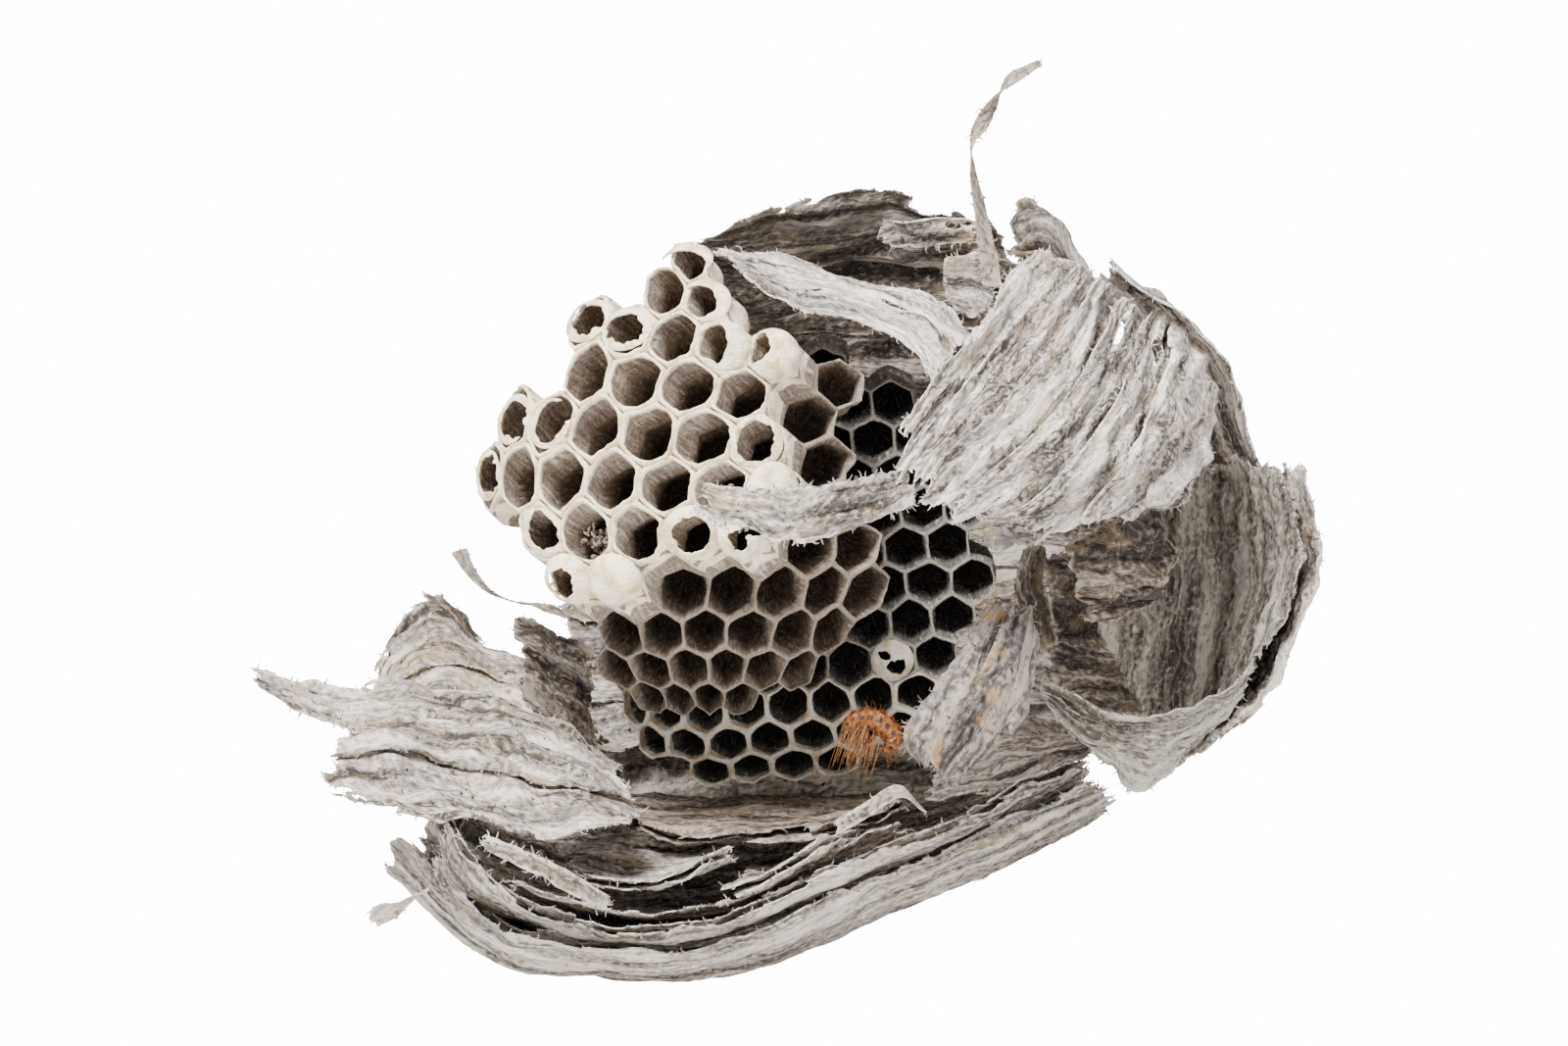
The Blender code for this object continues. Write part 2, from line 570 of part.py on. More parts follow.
def rear_point(column, row, depth):
    """A point of the rear comb: a place in its lattice, and how deep below the cell mouths it lies."""
    beyond = max(0.0, row - REAR_LAST_FLAT_ROW)
    x, y = column * REAR_PITCH, (REAR_ROW_SHRINK * beyond - row) * REAR_PITCH * ROW_RATIO
    back = depth
    if x < REAR_BEND_START:
        bend = (REAR_BEND_START - x) / REAR_BEND_RADIUS
        reach = REAR_BEND_RADIUS - depth / 2
        x = REAR_BEND_START - reach * math.sin(bend)
        back = depth / 2 + REAR_BEND_RADIUS - reach * math.cos(bend)
    back += REAR_CURL * beyond
    x, y = x * math.cos(REAR_TURN) - y * math.sin(REAR_TURN), x * math.sin(REAR_TURN) + y * math.cos(REAR_TURN)
    up = y * math.cos(REAR_DIP) + back * math.sin(REAR_DIP)
    out = y * math.sin(REAR_DIP) - back * math.cos(REAR_DIP)
    return np.array(REAR_CENTRE) + np.array((x, up, out))


def front_cells():
    """The front comb's cells: (column, row, kind)."""
    return [
        (first + k, row, kind)
        for row, (first, kinds) in enumerate(FRONT_ROWS)
        for k, kind in enumerate(kinds)
    ]


def rear_cells():
    """The rear comb's cells: every place of its lattice inside its rounded outline."""
    cells = []
    for row in range(-REAR_SEARCH, REAR_SEARCH):
        for k in range(-REAR_SEARCH, REAR_SEARCH):
            column = k + (row % 2) / 2
            across = (column - REAR_MIDDLE_COLUMN) * REAR_PITCH
            down = (row - REAR_MIDDLE_ROW) * REAR_PITCH * ROW_RATIO
            reach = REAR_REACH_LEFT if across < 0 else REAR_REACH_RIGHT
            if math.hypot(across / reach, down / REAR_REACH_UP) < 1.0:
                cells.append((column, row, "b"))
    return cells


def comb(name, cells, place, pitch, depth, step):
    """One comb: hexagonal pockets side by side that share their walls. Cells with silk stand step higher."""
    shell = bmesh.new()
    heights = {}
    for column, row, kind in cells:
        for dx, dy in CORNERS:
            key = (round(6 * (column + dx)), round(3 * (row + dy)))
            heights.setdefault(key, []).append(0.0 if kind == "b" else step)
    mouths, backs, edges = {}, {}, {}
    inner_share = 1.0 - 2.0 * CELL_WALL / pitch
    for column, row, _ in cells:
        keys = []
        for dx, dy in CORNERS:
            key = (round(6 * (column + dx)), round(3 * (row + dy)))
            keys.append(key)
            if key not in mouths:
                sink = step - sum(heights[key]) / len(heights[key])
                mouths[key] = shell.verts.new(leaned(place(column + dx, row + dy, sink)))
                backs[key] = shell.verts.new(leaned(place(column + dx, row + dy, step + depth)))
        lip, floor = [], []
        for (dx, dy), key in zip(CORNERS, keys):
            sink = step - sum(heights[key]) / len(heights[key])
            lip.append(place(column + dx * inner_share, row + dy * inner_share, sink))
            share = inner_share * CELL_FLOOR_SHARE
            floor.append(place(column + dx * share, row + dy * share, step + depth - CELL_BACK_WALL))
        lip = [shell.verts.new(leaned(point)) for point in lip]
        floor = [shell.verts.new(leaned(point)) for point in floor]
        for k in range(6):
            after = (k + 1) % 6
            shell.faces.new((mouths[keys[k]], mouths[keys[after]], lip[after], lip[k]))
            shell.faces.new((lip[k], lip[after], floor[after], floor[k]))
            edges.setdefault(frozenset((keys[k], keys[after])), []).append((keys[k], keys[after]))
        shell.faces.new(floor)
        shell.faces.new([backs[key] for key in reversed(keys)])
    for shared in edges.values():
        if len(shared) == 1:
            a, b = shared[0]
            shell.faces.new((mouths[b], mouths[a], backs[a], backs[b]))
    bmesh.ops.triangulate(shell, faces=shell.faces)
    return add_object(name, shell, "comb_paper")


def cap(name, place, column, row, bulge, width):
    """A domed silk cap just clear of one cell's mouth."""
    sideways = place(column + CAP_NEARBY, row, 0.0) - place(column - CAP_NEARBY, row, 0.0)
    sideways /= np.linalg.norm(sideways)
    out = np.cross(sideways, place(column, row - CAP_NEARBY, 0.0) - place(column, row + CAP_NEARBY, 0.0))
    out /= np.linalg.norm(out)
    upward = np.cross(out, sideways)
    base = place(column, row, 0.0) + out * CAP_GAP
    shell = bmesh.new()
    rings = []
    for share, height in CAP_RINGS:
        ring = []
        for k in range(CAP_SIDES):
            turn = 2 * math.pi * k / CAP_SIDES
            flat = sideways * math.cos(turn) + upward * math.sin(turn)
            ring.append(leaned(base + flat * width / 2 * share + out * bulge * height))
        rings.append([shell.verts.new(point) for point in ring])
    tip = shell.verts.new(leaned(base + out * bulge))
    for k in range(CAP_SIDES):
        after = (k + 1) % CAP_SIDES
        for low, high in zip(rings, rings[1:]):
            shell.faces.new((low[k], low[after], high[after], high[k]))
        shell.faces.new((rings[-1][k], rings[-1][after], tip))
    shell.faces.new(rings[0])
    return add_object(name, shell, "silk")


def tube(name, path, radii, material):
    """A closed round tube through the points of a path, with a radius at each of them."""
    path = np.array(path, float)
    ahead = np.gradient(path, axis=0)
    shell = bmesh.new()
    rings = []
    for centre, direction, radius in zip(path, ahead, radii):
        along = direction / np.linalg.norm(direction)
        sideways = np.cross(along, TUBE_SEAM)
        sideways /= np.linalg.norm(sideways)
        upward = np.cross(sideways, along)
        ring = []
        for n in range(TUBE_SIDES):
            turn = 2 * math.pi * n / TUBE_SIDES
            ring.append(leaned(centre + (sideways * math.cos(turn) + upward * math.sin(turn)) * radius))
        rings.append([shell.verts.new(point) for point in ring])
    for low, high in zip(rings, rings[1:]):
        for n in range(TUBE_SIDES):
            after = (n + 1) % TUBE_SIDES
            shell.faces.new((low[n], low[after], high[after], high[n]))
    shell.faces.new(rings[0])
    shell.faces.new(rings[-1])
    return add_object(name, shell, material)


def build():
    clear_scene()
    for name, (material, (along, across), net) in SHEETS.items():
        lowest = 0.0 if name == "hull_outer" else None
        thick_sheet(name, surface(net, along, across), material, lowest)
    for name, placing in BACK_SHEETS.items():
        thick_sheet(name, back_grid(*placing), "grey_paper")
    for name, stations in SCRAP_RIBBONS.items():
        thick_sheet(name, ribbon_grid(stations), "brown_paper")
    comb("comb_front", front_cells(), front_point, FRONT_COLUMN_PITCH, FRONT_DEPTH, SILK_STEP)
    comb("comb_rear", rear_cells(), rear_point, REAR_PITCH, REAR_DEPTH, 0.0)
    number = 0
    for column, row, kind in front_cells():
        if kind in "ct":
            number += 1
            cap(f"silk_cap_{number}", front_point, column, row, FRONT_CAP_BULGE, FRONT_CAP_WIDTH)
    cap("silk_cap_rear", rear_point, REAR_CAP_COLUMN, REAR_CAP_ROW, REAR_CAP_BULGE, REAR_CAP_WIDTH)
    for name, (path, radii) in POSTS.items():
        tube(name, path, radii, "brown_paper")
    tube("cast_skin", SKIN_PATH, SKIN_RADII, "cast_skin")


build()
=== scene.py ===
"""The looks of a torn aerial paper wasp nest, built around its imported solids.

Shapes are worked out in the nest's own frame, in millimetres: across (to the right), up, and out (towards
the open mouths of the combs). lay_down() leans them back onto the ground plane of the shared frame, in
metres. Every paper sheet is a fine mesh with ragged, torn edges, overlapping strips, creases and loose
fibres. The combs are welded meshes of hollow cells.
"""

from __future__ import annotations

import itertools
import logging
import math
import sys
from dataclasses import dataclass
from enum import Enum
from typing import Any, Callable, Iterable, Sequence

import bpy
import numpy as np
from mathutils import Matrix, Vector

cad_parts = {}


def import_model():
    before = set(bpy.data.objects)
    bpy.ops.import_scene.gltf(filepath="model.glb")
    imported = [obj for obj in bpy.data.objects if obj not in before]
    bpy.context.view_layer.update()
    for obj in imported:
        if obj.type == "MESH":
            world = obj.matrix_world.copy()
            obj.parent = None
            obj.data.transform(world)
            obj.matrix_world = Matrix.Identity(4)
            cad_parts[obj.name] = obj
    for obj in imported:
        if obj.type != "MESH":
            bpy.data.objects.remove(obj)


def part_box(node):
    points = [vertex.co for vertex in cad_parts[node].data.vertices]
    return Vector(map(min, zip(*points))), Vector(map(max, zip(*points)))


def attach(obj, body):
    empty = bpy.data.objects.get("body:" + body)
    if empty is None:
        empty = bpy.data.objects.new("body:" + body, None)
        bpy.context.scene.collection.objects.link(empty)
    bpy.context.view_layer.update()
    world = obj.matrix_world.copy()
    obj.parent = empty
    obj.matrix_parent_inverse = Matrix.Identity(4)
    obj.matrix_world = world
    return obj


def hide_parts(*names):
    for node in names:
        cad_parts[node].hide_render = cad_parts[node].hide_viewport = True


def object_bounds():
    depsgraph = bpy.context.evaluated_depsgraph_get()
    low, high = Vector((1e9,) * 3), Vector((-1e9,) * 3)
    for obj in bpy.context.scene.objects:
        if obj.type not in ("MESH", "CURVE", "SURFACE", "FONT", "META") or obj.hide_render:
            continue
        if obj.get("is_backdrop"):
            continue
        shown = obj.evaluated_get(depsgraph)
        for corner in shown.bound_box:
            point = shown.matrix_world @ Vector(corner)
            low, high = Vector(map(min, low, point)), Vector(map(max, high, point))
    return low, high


LOG = logging.getLogger("nest")
Array = np.ndarray
Net = Sequence[Sequence[Sequence[float]]]
Colour = tuple[float, float, float]

BODY = "root"
MM = 0.001
# How far the nest leans back, and the point of its own frame that comes to lie at the origin.
LEAN = math.radians(20.0)
REST = np.array((-8.0, -47.2, -15.8))
# How far above the ground the lowest points stay, in millimetres.
GROUND_GAP = 0.04
# Edges that turn by more than this are drawn sharp.
SHARP_ANGLE = math.radians(65.0)
# The share of a cut edge that is never cut off, so that no sliver is left.
LEAST_CUT = 0.03
# The mesh's UV map, in millimetres along and across the fibres, and the values that each vertex carries:
# distance from the rim, the strip's shade, how deep in a crease it lies, how much silk covers it and how
# deep in a cell it is.
FIBRE_MAP = "fibres"
MARKS = ("rim", "shade", "crease", "silk", "deep")
RIM, SHADE, CREASE, SILK, DEEP = range(len(MARKS))


def lay_down(points: Array) -> Array:
    """Leans points of the nest's frame back onto the ground.

    Args:
        points: Points in the nest's frame, in millimetres.

    Returns:
        The same points in the shared frame, in metres, none of them under the ground.
    """
    across, up, out = np.moveaxis(points - REST, -1, 0)
    depth = up * math.sin(LEAN) - out * math.cos(LEAN)
    height = up * math.cos(LEAN) + out * math.sin(LEAN)
    return np.stack((across, depth, np.maximum(height, GROUND_GAP)), -1) * MM


def stand_up(points: Array) -> Array:
    """Brings points of the shared frame, in metres, back to the nest's frame, in millimetres."""
    across, depth, height = np.moveaxis(points / MM, -1, 0)
    up = depth * math.sin(LEAN) + height * math.cos(LEAN)
    out = height * math.sin(LEAN) - depth * math.cos(LEAN)
    return np.stack((across, up, out), -1) + REST


def unit(vectors: Array) -> Array:
    """Vectors scaled to length one."""
    return vectors / np.maximum(np.linalg.norm(vectors, axis=-1, keepdims=True), 1e-9)


def smooth_step(value: Array, low: float, high: float) -> Array:
    """Rises smoothly from zero at low to one at high."""
    share = np.clip((value - low) / (high - low), 0.0, 1.0)
    return share * share * (3.0 - 2.0 * share)


class Noise:
    """Smooth gradient noise that is the same on each run."""

    CELLS = 256
    GAIN = 1.6

    def __init__(self, seed: int) -> None:
        """Args:
        seed: Picks the pattern.
        """
        draw = np.random.default_rng(seed)
        self.order = draw.permutation(self.CELLS)
        self.ways = unit(draw.normal(size=(self.CELLS, 3)))

    def at(self, points: Array) -> Array:
        """The noise at some points.

        Args:
            points: Any array whose last axis holds three coordinates.

        Returns:
            One value for each point, mostly from -1 to 1.
        """
        base = np.floor(points).astype(int)
        part = points - base
        ease = part**3 * (part * (part * 6.0 - 15.0) + 10.0)
        total = np.zeros(points.shape[:-1])
        for corner in itertools.product((0, 1), repeat=3):
            cell = base + corner
            key = self.order[cell[..., 0] % self.CELLS]
            key = self.order[(key + cell[..., 1]) % self.CELLS]
            key = self.order[(key + cell[..., 2]) % self.CELLS]
            weight = np.prod(np.where(corner, ease, 1.0 - ease), axis=-1)
            total += weight * np.sum(self.ways[key] * (part - corner), axis=-1)
        return total * self.GAIN

    def flat(self, along: Array, across: Array, long: float, wide: float) -> Array:
        """Noise over a sheet, stretched along its fibres.

        Args:
            along: Distance along the fibres, in millimetres.
            across: Distance across them, in millimetres.
            long: Length of its features along the fibres.
            wide: Width of its features across them.

        Returns:
            One value for each point.
        """
        points = np.stack(np.broadcast_arrays(along / long, across / wide, 0.37), -1)
        return self.at(points)

    def line(self, along: Array, size: float) -> Array:
        """Noise along a line, with features of one size."""
        return self.flat(along, np.zeros_like(along), size, 1.0)


def curve(points: Array, shares: Array) -> Array:
    """Points on a smooth curve, straight on past its ends.

    Args:
        points: Control points along the first axis.
        shares: Places along the curve, where 0 and 1 are its ends.

    Returns:
        An array with one row for each share.
    """
    spans = len(points) - 1
    held = np.clip(shares, 0.0, 1.0)
    cell = np.minimum((held * spans).astype(int), spans - 1)
    shape = (-1,) + (1,) * (points.ndim - 1)
    t = (held * spans - cell).reshape(shape)
    ends = (2 * points[:1] - points[1:2], points, 2 * points[-1:] - points[-2:-1])
    padded = np.concatenate(ends)
    a, b, c, d = (padded[cell + k] for k in range(4))
    bend = (2 * a - 5 * b + 4 * c - d) * t**2 + (3 * b - a - 3 * c + d) * t**3
    on_curve = 0.5 * (2 * b + (c - a) * t + bend)
    beyond = ((shares - held) * spans).reshape(shape)
    slope = np.where(beyond < 0, points[1] - points[0], points[-1] - points[-2])
    return on_curve + beyond * slope


@dataclass
class Shell:
    """Part of a mesh: triangles with the values that its material reads.

    Attributes:
        points: Vertex places in the nest's frame, in millimetres.
        faces: Three vertex numbers for each triangle.
        fibres: Distance along and across the fibres at each corner of each triangle.
        marks: One column for each name in MARKS.
    """

    points: Array
    faces: Array
    fibres: Array
    marks: Array

    def moved(self, shift: Array) -> "Shell":
        """The same shell, shifted."""
        return Shell(self.points + shift, self.faces, self.fibres, self.marks)


def joined(shells: Iterable[Shell]) -> Shell:
    """Several shells as one.

    Args:
        shells: The shells, none of which is changed.

    Returns:
        One shell that holds all of them.
    """
    shells = list(shells)
    starts = np.cumsum([0] + [len(shell.points) for shell in shells[:-1]])
    faces = np.concatenate([shell.faces + start for shell, start in zip(shells, starts)])
    points, fibres, marks = (
        np.concatenate([getattr(shell, part) for shell in shells]) for part in ("points", "fibres", "marks")
    )
    return Shell(points, faces, fibres, marks)


def grid_faces(rows: int, columns: int, closed: bool = False) -> Array:
    """Triangles over a grid of vertices.

    Args:
        rows: Number of rows of vertices.
        columns: Number of vertices in each row.
        closed: Whether each row is a ring.

    Returns:
        Faces that look towards the cross product of the way between rows and the way along them.
    """
    j = np.arange(rows - 1)[:, None] * columns
    i = np.arange(columns if closed else columns - 1)[None, :]
    after = (i + 1) % columns
    a, b, c, d = j + i, j + after, j + columns + after, j + columns + i
    return np.concatenate([np.stack(corners, -1).reshape(-1, 3) for corners in ((a, d, c), (a, c, b))])


def clipped(rows: Array, field: Array, faces: Array) -> tuple[Array, Array]:
    """Cuts a mesh along the line where a field is zero, and keeps the largest part where it is above zero.

    Args:
        rows: Values at each vertex, which are mixed where an edge is cut.
        field: The field at each vertex.
        faces: The mesh's triangles.

    Returns:
        The kept vertices' values and the kept triangles.
    """
    inside = field > 0.0
    count = inside[faces].sum(1)
    kept = [faces[count == 3]]
    odd = faces[(count == 1) | (count == 2)]
    lone = inside[odd].sum(1) == 1
    first = np.argmax(inside[odd] == lone[:, None], axis=1)
    odd = odd[np.arange(len(odd))[:, None], (first[:, None] + np.arange(3)) % 3]
    cut = np.sort(np.concatenate([odd[:, [0, 1]], odd[:, [0, 2]]]), axis=1)
    cut, place = np.unique(cut, axis=0, return_inverse=True)
    place = place.reshape(-1) + len(rows)
    low, high = field[cut[:, 0]], field[cut[:, 1]]
    share = np.clip(low / (low - high), LEAST_CUT, 1.0 - LEAST_CUT)[:, None]
    rows = np.concatenate([rows, rows[cut[:, 0]] * (1.0 - share) + rows[cut[:, 1]] * share])
    near, far = place[: len(odd)], place[len(odd) :]
    kept.append(np.stack((odd[:, 0], near, far), -1)[lone])
    kept.append(np.stack((near, odd[:, 1], odd[:, 2]), -1)[~lone])
    kept.append(np.stack((near, odd[:, 2], far), -1)[~lone])
    faces = largest_part(np.concatenate(kept), len(rows))
    used, faces = np.unique(faces, return_inverse=True)
    return rows[used], faces.reshape(-1, 3)


def largest_part(faces: Array, count: int) -> Array:
    """The triangles of the largest connected part of a mesh.

    Args:
        faces: The mesh's triangles.
        count: Its number of vertices.

    Returns:
        The triangles that are kept.
    """
    label = np.arange(count)
    while True:
        lowest = label[faces].min(1)
        before = label.copy()
        np.minimum.at(label, faces.ravel(), np.repeat(lowest, 3))
        label = label[label]
        if (label == before).all():
            break
    part = label[faces[:, 0]]
    return faces[part == np.bincount(part).argmax()]


def outline_edges(faces: Array) -> Array:
    """Edges that only one triangle has, each in its triangle's direction."""
    edges = np.concatenate([faces[:, [0, 1]], faces[:, [1, 2]], faces[:, [2, 0]]])
    _, place, count = np.unique(np.sort(edges, axis=1), axis=0, return_inverse=True, return_counts=True)
    return edges[count[place.reshape(-1)] == 1]


def thickened(points: Array, normals: Array, faces: Array, half: Array) -> tuple[Array, Array]:
    """Gives a sheet two sides and closes its edges.

    Args:
        points: The middle of the sheet.
        normals: The way its thickness goes at each point.
        faces: Its triangles.
        half: Half its thickness at each point.

    Returns:
        Points and triangles of the closed sheet, first the upper side and then the lower one.
    """
    count = len(points)
    both = np.concatenate([points + normals * half[:, None], points - normals * half[:, None]])
    a, b = outline_edges(faces).T
    sides = [np.stack((b, a, a + count), -1), np.stack((b, a + count, b + count), -1)]
    return both, np.concatenate([faces, faces[:, ::-1] + count, *sides])


def strand(path: Array, radii: Array, sides: int, marks: Array, spread: float = 1.0) -> Shell:
    """A closed thin tube along a path.

    Args:
        path: Points along its middle.
        radii: Its radius at each point.
        sides: Number of its sides.
        marks: The marks that all of it carries.
        spread: How much wider than thick it is.

    Returns:
        The tube's shell.
    """
    ahead = unit(np.gradient(path, axis=0))
    helper = np.where(abs(ahead[:, 2:]) < 0.8, (0.0, 0.0, 1.0), (0.0, 1.0, 0.0))
    sideways = unit(np.cross(ahead, helper))
    upward = np.cross(ahead, sideways)
    turns = np.arange(sides) * 2.0 * math.pi / sides
    wide, high = np.cos(turns)[:, None] * spread, np.sin(turns)[:, None]
    round_it = sideways[:, None] * wide + upward[:, None] * high
    points = path[:, None] + round_it * radii[:, None, None]
    steps = len(path)
    faces = [grid_faces(steps, sides, True)[:, ::-1]]
    for start, flip in ((0, 1), ((steps - 1) * sides, -1)):
        fan = [(start, start + k, start + k + 1)[::flip] for k in range(1, sides - 1)]
        faces.append(np.array(fan)[:, ::-1])
    length = np.concatenate([[0.0], np.cumsum(np.linalg.norm(np.diff(path, axis=0), axis=1))])
    fibres = np.stack(np.broadcast_arrays(length[:, None], turns[None] * radii[:, None]), -1)
    points, faces = points.reshape(-1, 3), np.concatenate(faces)
    return Shell(points, faces, fibres.reshape(-1, 2)[faces], np.tile(marks, (len(points), 1)))


def node_centre(node: str) -> Array:
    """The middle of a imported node's box, in metres."""
    low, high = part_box(node)
    return (np.array(low) + np.array(high)) / 2.0


def fitted(shell: Shell, guide: Array, node: str) -> Shell:
    """Moves a shell so that the plain surface it was made from sits in the middle of its node's box.

    Args:
        shell: The detailed shell.
        guide: Points of the plain surface, in the nest's frame.
        node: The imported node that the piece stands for.

    Returns:
        The shell in its place.
    """
    placed = lay_down(guide.reshape(-1, 3))
    middle = (placed.min(0) + placed.max(0)) / 2.0
    shift = stand_up(node_centre(node)[None]) - stand_up(middle[None])
    return shell.moved(shift[0])


def add_piece(name: str, shell: Shell, material: bpy.types.Material, slot: str, *nodes: str) -> None:
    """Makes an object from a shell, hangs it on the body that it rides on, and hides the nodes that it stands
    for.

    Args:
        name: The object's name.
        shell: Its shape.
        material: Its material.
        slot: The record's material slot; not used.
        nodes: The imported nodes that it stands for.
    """
    mesh = bpy.data.meshes.new(name)
    faces = shell.faces.astype(np.int32)
    mesh.vertices.add(len(shell.points))
    mesh.vertices.foreach_set("co", lay_down(shell.points).astype(np.float32).ravel())
    mesh.loops.add(faces.size)
    mesh.loops.foreach_set("vertex_index", faces.ravel())
    mesh.polygons.add(len(faces))
    mesh.polygons.foreach_set("loop_start", np.arange(0, faces.size, 3, dtype=np.int32))
    mesh.update(calc_edges=True)
    fibres = mesh.uv_layers.new(name=FIBRE_MAP)
    fibres.uv.foreach_set("vector", shell.fibres.astype(np.float32).ravel())
    for column, mark in enumerate(MARKS):
        layer = mesh.attributes.new(mark, "FLOAT", "POINT")
        layer.data.foreach_set("value", shell.marks[:, column].astype(np.float32))
    mesh.validate()
    mesh.shade_smooth()
    mesh.set_sharp_from_angle(angle=SHARP_ANGLE)
    mesh.materials.append(material)
    piece = bpy.data.objects.new(name, mesh)
    bpy.context.scene.collection.objects.link(piece)
    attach(piece, BODY)
    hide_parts(*nodes)
    LOG.info("%s: %d triangles", name, len(mesh.polygons))


# ---------------------------------------------------------------- materials


COLOUR_SOCKET, VALUE_SOCKET = "NodeSocketColor", "NodeSocketFloat"
Tree = bpy.types.NodeTree
# How strong each finer layer of noise is, and how often the fibres wander in a millimetre along and across.
NOISE_ROUGHNESS = 0.55
WANDER = (0.16, 0.22, 1.0)
# What the painted shade in creases and the painted shade deep in a cell multiply the colour by, and the
# colours of dark specks.
CREASE_SHADE_TINT, DEPTH_SHADE_TINT = (0.36, 0.33, 0.3, 1.0), (0.22, 0.19, 0.17, 1.0)
PAPER_SPECK, CELL_SPECK = (0.02, 0.016, 0.012, 1.0), (0.03, 0.02, 0.015, 1.0)
SPECULAR, SILK_SHEEN = 0.25, 0.15


def add_node(tree: Tree, kind: str, inputs: dict[Any, Any] | None = None, **settings: Any) -> Any:
    """Adds a shader node.

    Args:
        tree: The tree it goes in.
        kind: Its type.
        inputs: A value or another node's socket for each of its inputs, by name or number.
        **settings: Its other settings.

    Returns:
        The node.
    """
    node = tree.nodes.new(kind)
    for key, value in settings.items():
        setattr(node, key, value)
    for key, value in (inputs or {}).items():
        if isinstance(value, bpy.types.NodeSocket):
            tree.links.new(value, node.inputs[key])
        else:
            node.inputs[key].default_value = value
    return node


def maths(tree: Tree, operation: str, *values: Any) -> Any:
    """The result of a Math node."""
    return add_node(tree, "ShaderNodeMath", dict(enumerate(values)), operation=operation).outputs[0]


def weighed(tree: Tree, *terms: tuple[Any, float]) -> Any:
    """The sum of some values, each times its weight."""
    total = maths(tree, "MULTIPLY", *terms[0])
    for value, weight in terms[1:]:
        total = maths(tree, "ADD", total, maths(tree, "MULTIPLY", value, weight))
    return total


def vector_maths(tree: Tree, operation: str, first: Any, second: Any) -> Any:
    """The result of a Vector Math node."""
    return add_node(tree, "ShaderNodeVectorMath", {0: first, 1: second}, operation=operation).outputs[0]


def blended(tree: Tree, share: Any, first: Any, second: Any, way: str = "MIX") -> Any:
    """The result of mixing two colours."""
    inputs = {0: share, 6: first, 7: second}
    return add_node(tree, "ShaderNodeMix", inputs, data_type="RGBA", blend_type=way).outputs[2]


def ramp(tree: Tree, value: Any, low: float, high: float, start: float = 0.0, end: float = 1.0) -> Any:
    """A value that goes smoothly from start at low to end at high."""
    inputs = {"Value": value, "From Min": low, "From Max": high, "To Min": start, "To Max": end}
    return add_node(tree, "ShaderNodeMapRange", inputs, interpolation_type="SMOOTHSTEP").outputs["Result"]


def stretched(tree: Tree, place: Any, along: float, across: float, detail: float = 3.0) -> Any:
    """Noise drawn out along the fibres.

    Args:
        tree: The tree it goes in.
        place: The place on the paper, in millimetres.
        along: Features for each millimetre along the fibres.
        across: Features for each millimetre across them.
        detail: How many finer layers it has.

    Returns:
        The noise's value, around one half.
    """
    scaled = vector_maths(tree, "MULTIPLY", place, (along, across, 1.0))
    inputs = {"Vector": scaled, "Scale": 1.0, "Detail": detail, "Roughness": NOISE_ROUGHNESS}
    return add_node(tree, "ShaderNodeTexNoise", inputs).outputs["Fac"]


def mark_value(tree: Tree, mark: str) -> Any:
    """The value of one of a mesh's marks."""
    return add_node(tree, "ShaderNodeAttribute", attribute_name=mark).outputs["Fac"]


def new_group(name: str, colours: Sequence[str], values: Sequence[str]) -> Any:
    """An empty node group that gives a colour, a height and a roughness.

    Args:
        name: The group's name.
        colours: The names of the colours that it takes.
        values: The names of the plain values that it takes.

    Returns:
        The group's tree.
    """
    tree = bpy.data.node_groups.new(name, "ShaderNodeTree")
    inputs = [(label, COLOUR_SOCKET) for label in colours] + [(label, VALUE_SOCKET) for label in values]
    outputs = (("Colour", COLOUR_SOCKET), ("Height", VALUE_SOCKET), ("Roughness", VALUE_SOCKET))
    for way, sockets in (("INPUT", inputs), ("OUTPUT", outputs)):
        for label, kind in sockets:
            tree.interface.new_socket(label, in_out=way, socket_type=kind)
    return tree


def wavy_place(tree: Tree, waviness: float) -> Any:
    """The place along and across the fibres, made to wander so that streaks aren't straight."""
    place = add_node(tree, "ShaderNodeUVMap", uv_map=FIBRE_MAP).outputs[0]
    slow = vector_maths(tree, "MULTIPLY", place, WANDER)
    inputs = {"Vector": slow, "Scale": 1.0, "Detail": 3.0}
    drift = add_node(tree, "ShaderNodeTexNoise", inputs).outputs["Color"]
    centred = vector_maths(tree, "SUBTRACT", drift, (0.5, 0.5, 0.5))
    sized = vector_maths(tree, "MULTIPLY", centred, (waviness, waviness, 0.0))
    return vector_maths(tree, "ADD", place, sized)


def specks(tree: Tree, place: Any, density: float, size: float) -> Any:
    """A mask of small dots scattered over the surface."""
    inputs = {"Vector": place, "Scale": density, "Randomness": 1.0}
    spots = add_node(tree, "ShaderNodeTexVoronoi", inputs, feature="F1")
    chance = add_node(tree, "ShaderNodeSeparateColor", {0: spots.outputs["Color"]}).outputs[0]
    radius = maths(tree, "MULTIPLY", chance, size * density)
    near = maths(tree, "SUBTRACT", radius, spots.outputs["Distance"])
    return ramp(tree, near, -0.02, 0.05)


def threads(tree: Tree, place: Any, turn: float) -> Any:
    """A mask of fine pale hairs that lie across each other."""
    inputs = {"Vector": place, "Angle": turn}
    turned = add_node(tree, "ShaderNodeVectorRotate", inputs, rotation_type="Z_AXIS").outputs[0]
    value = stretched(tree, turned, 0.35, 2.4, 1.0)
    line = maths(tree, "ABSOLUTE", maths(tree, "SUBTRACT", value, 0.5))
    return ramp(tree, line, 0.004, 0.016, 1.0, 0.0)


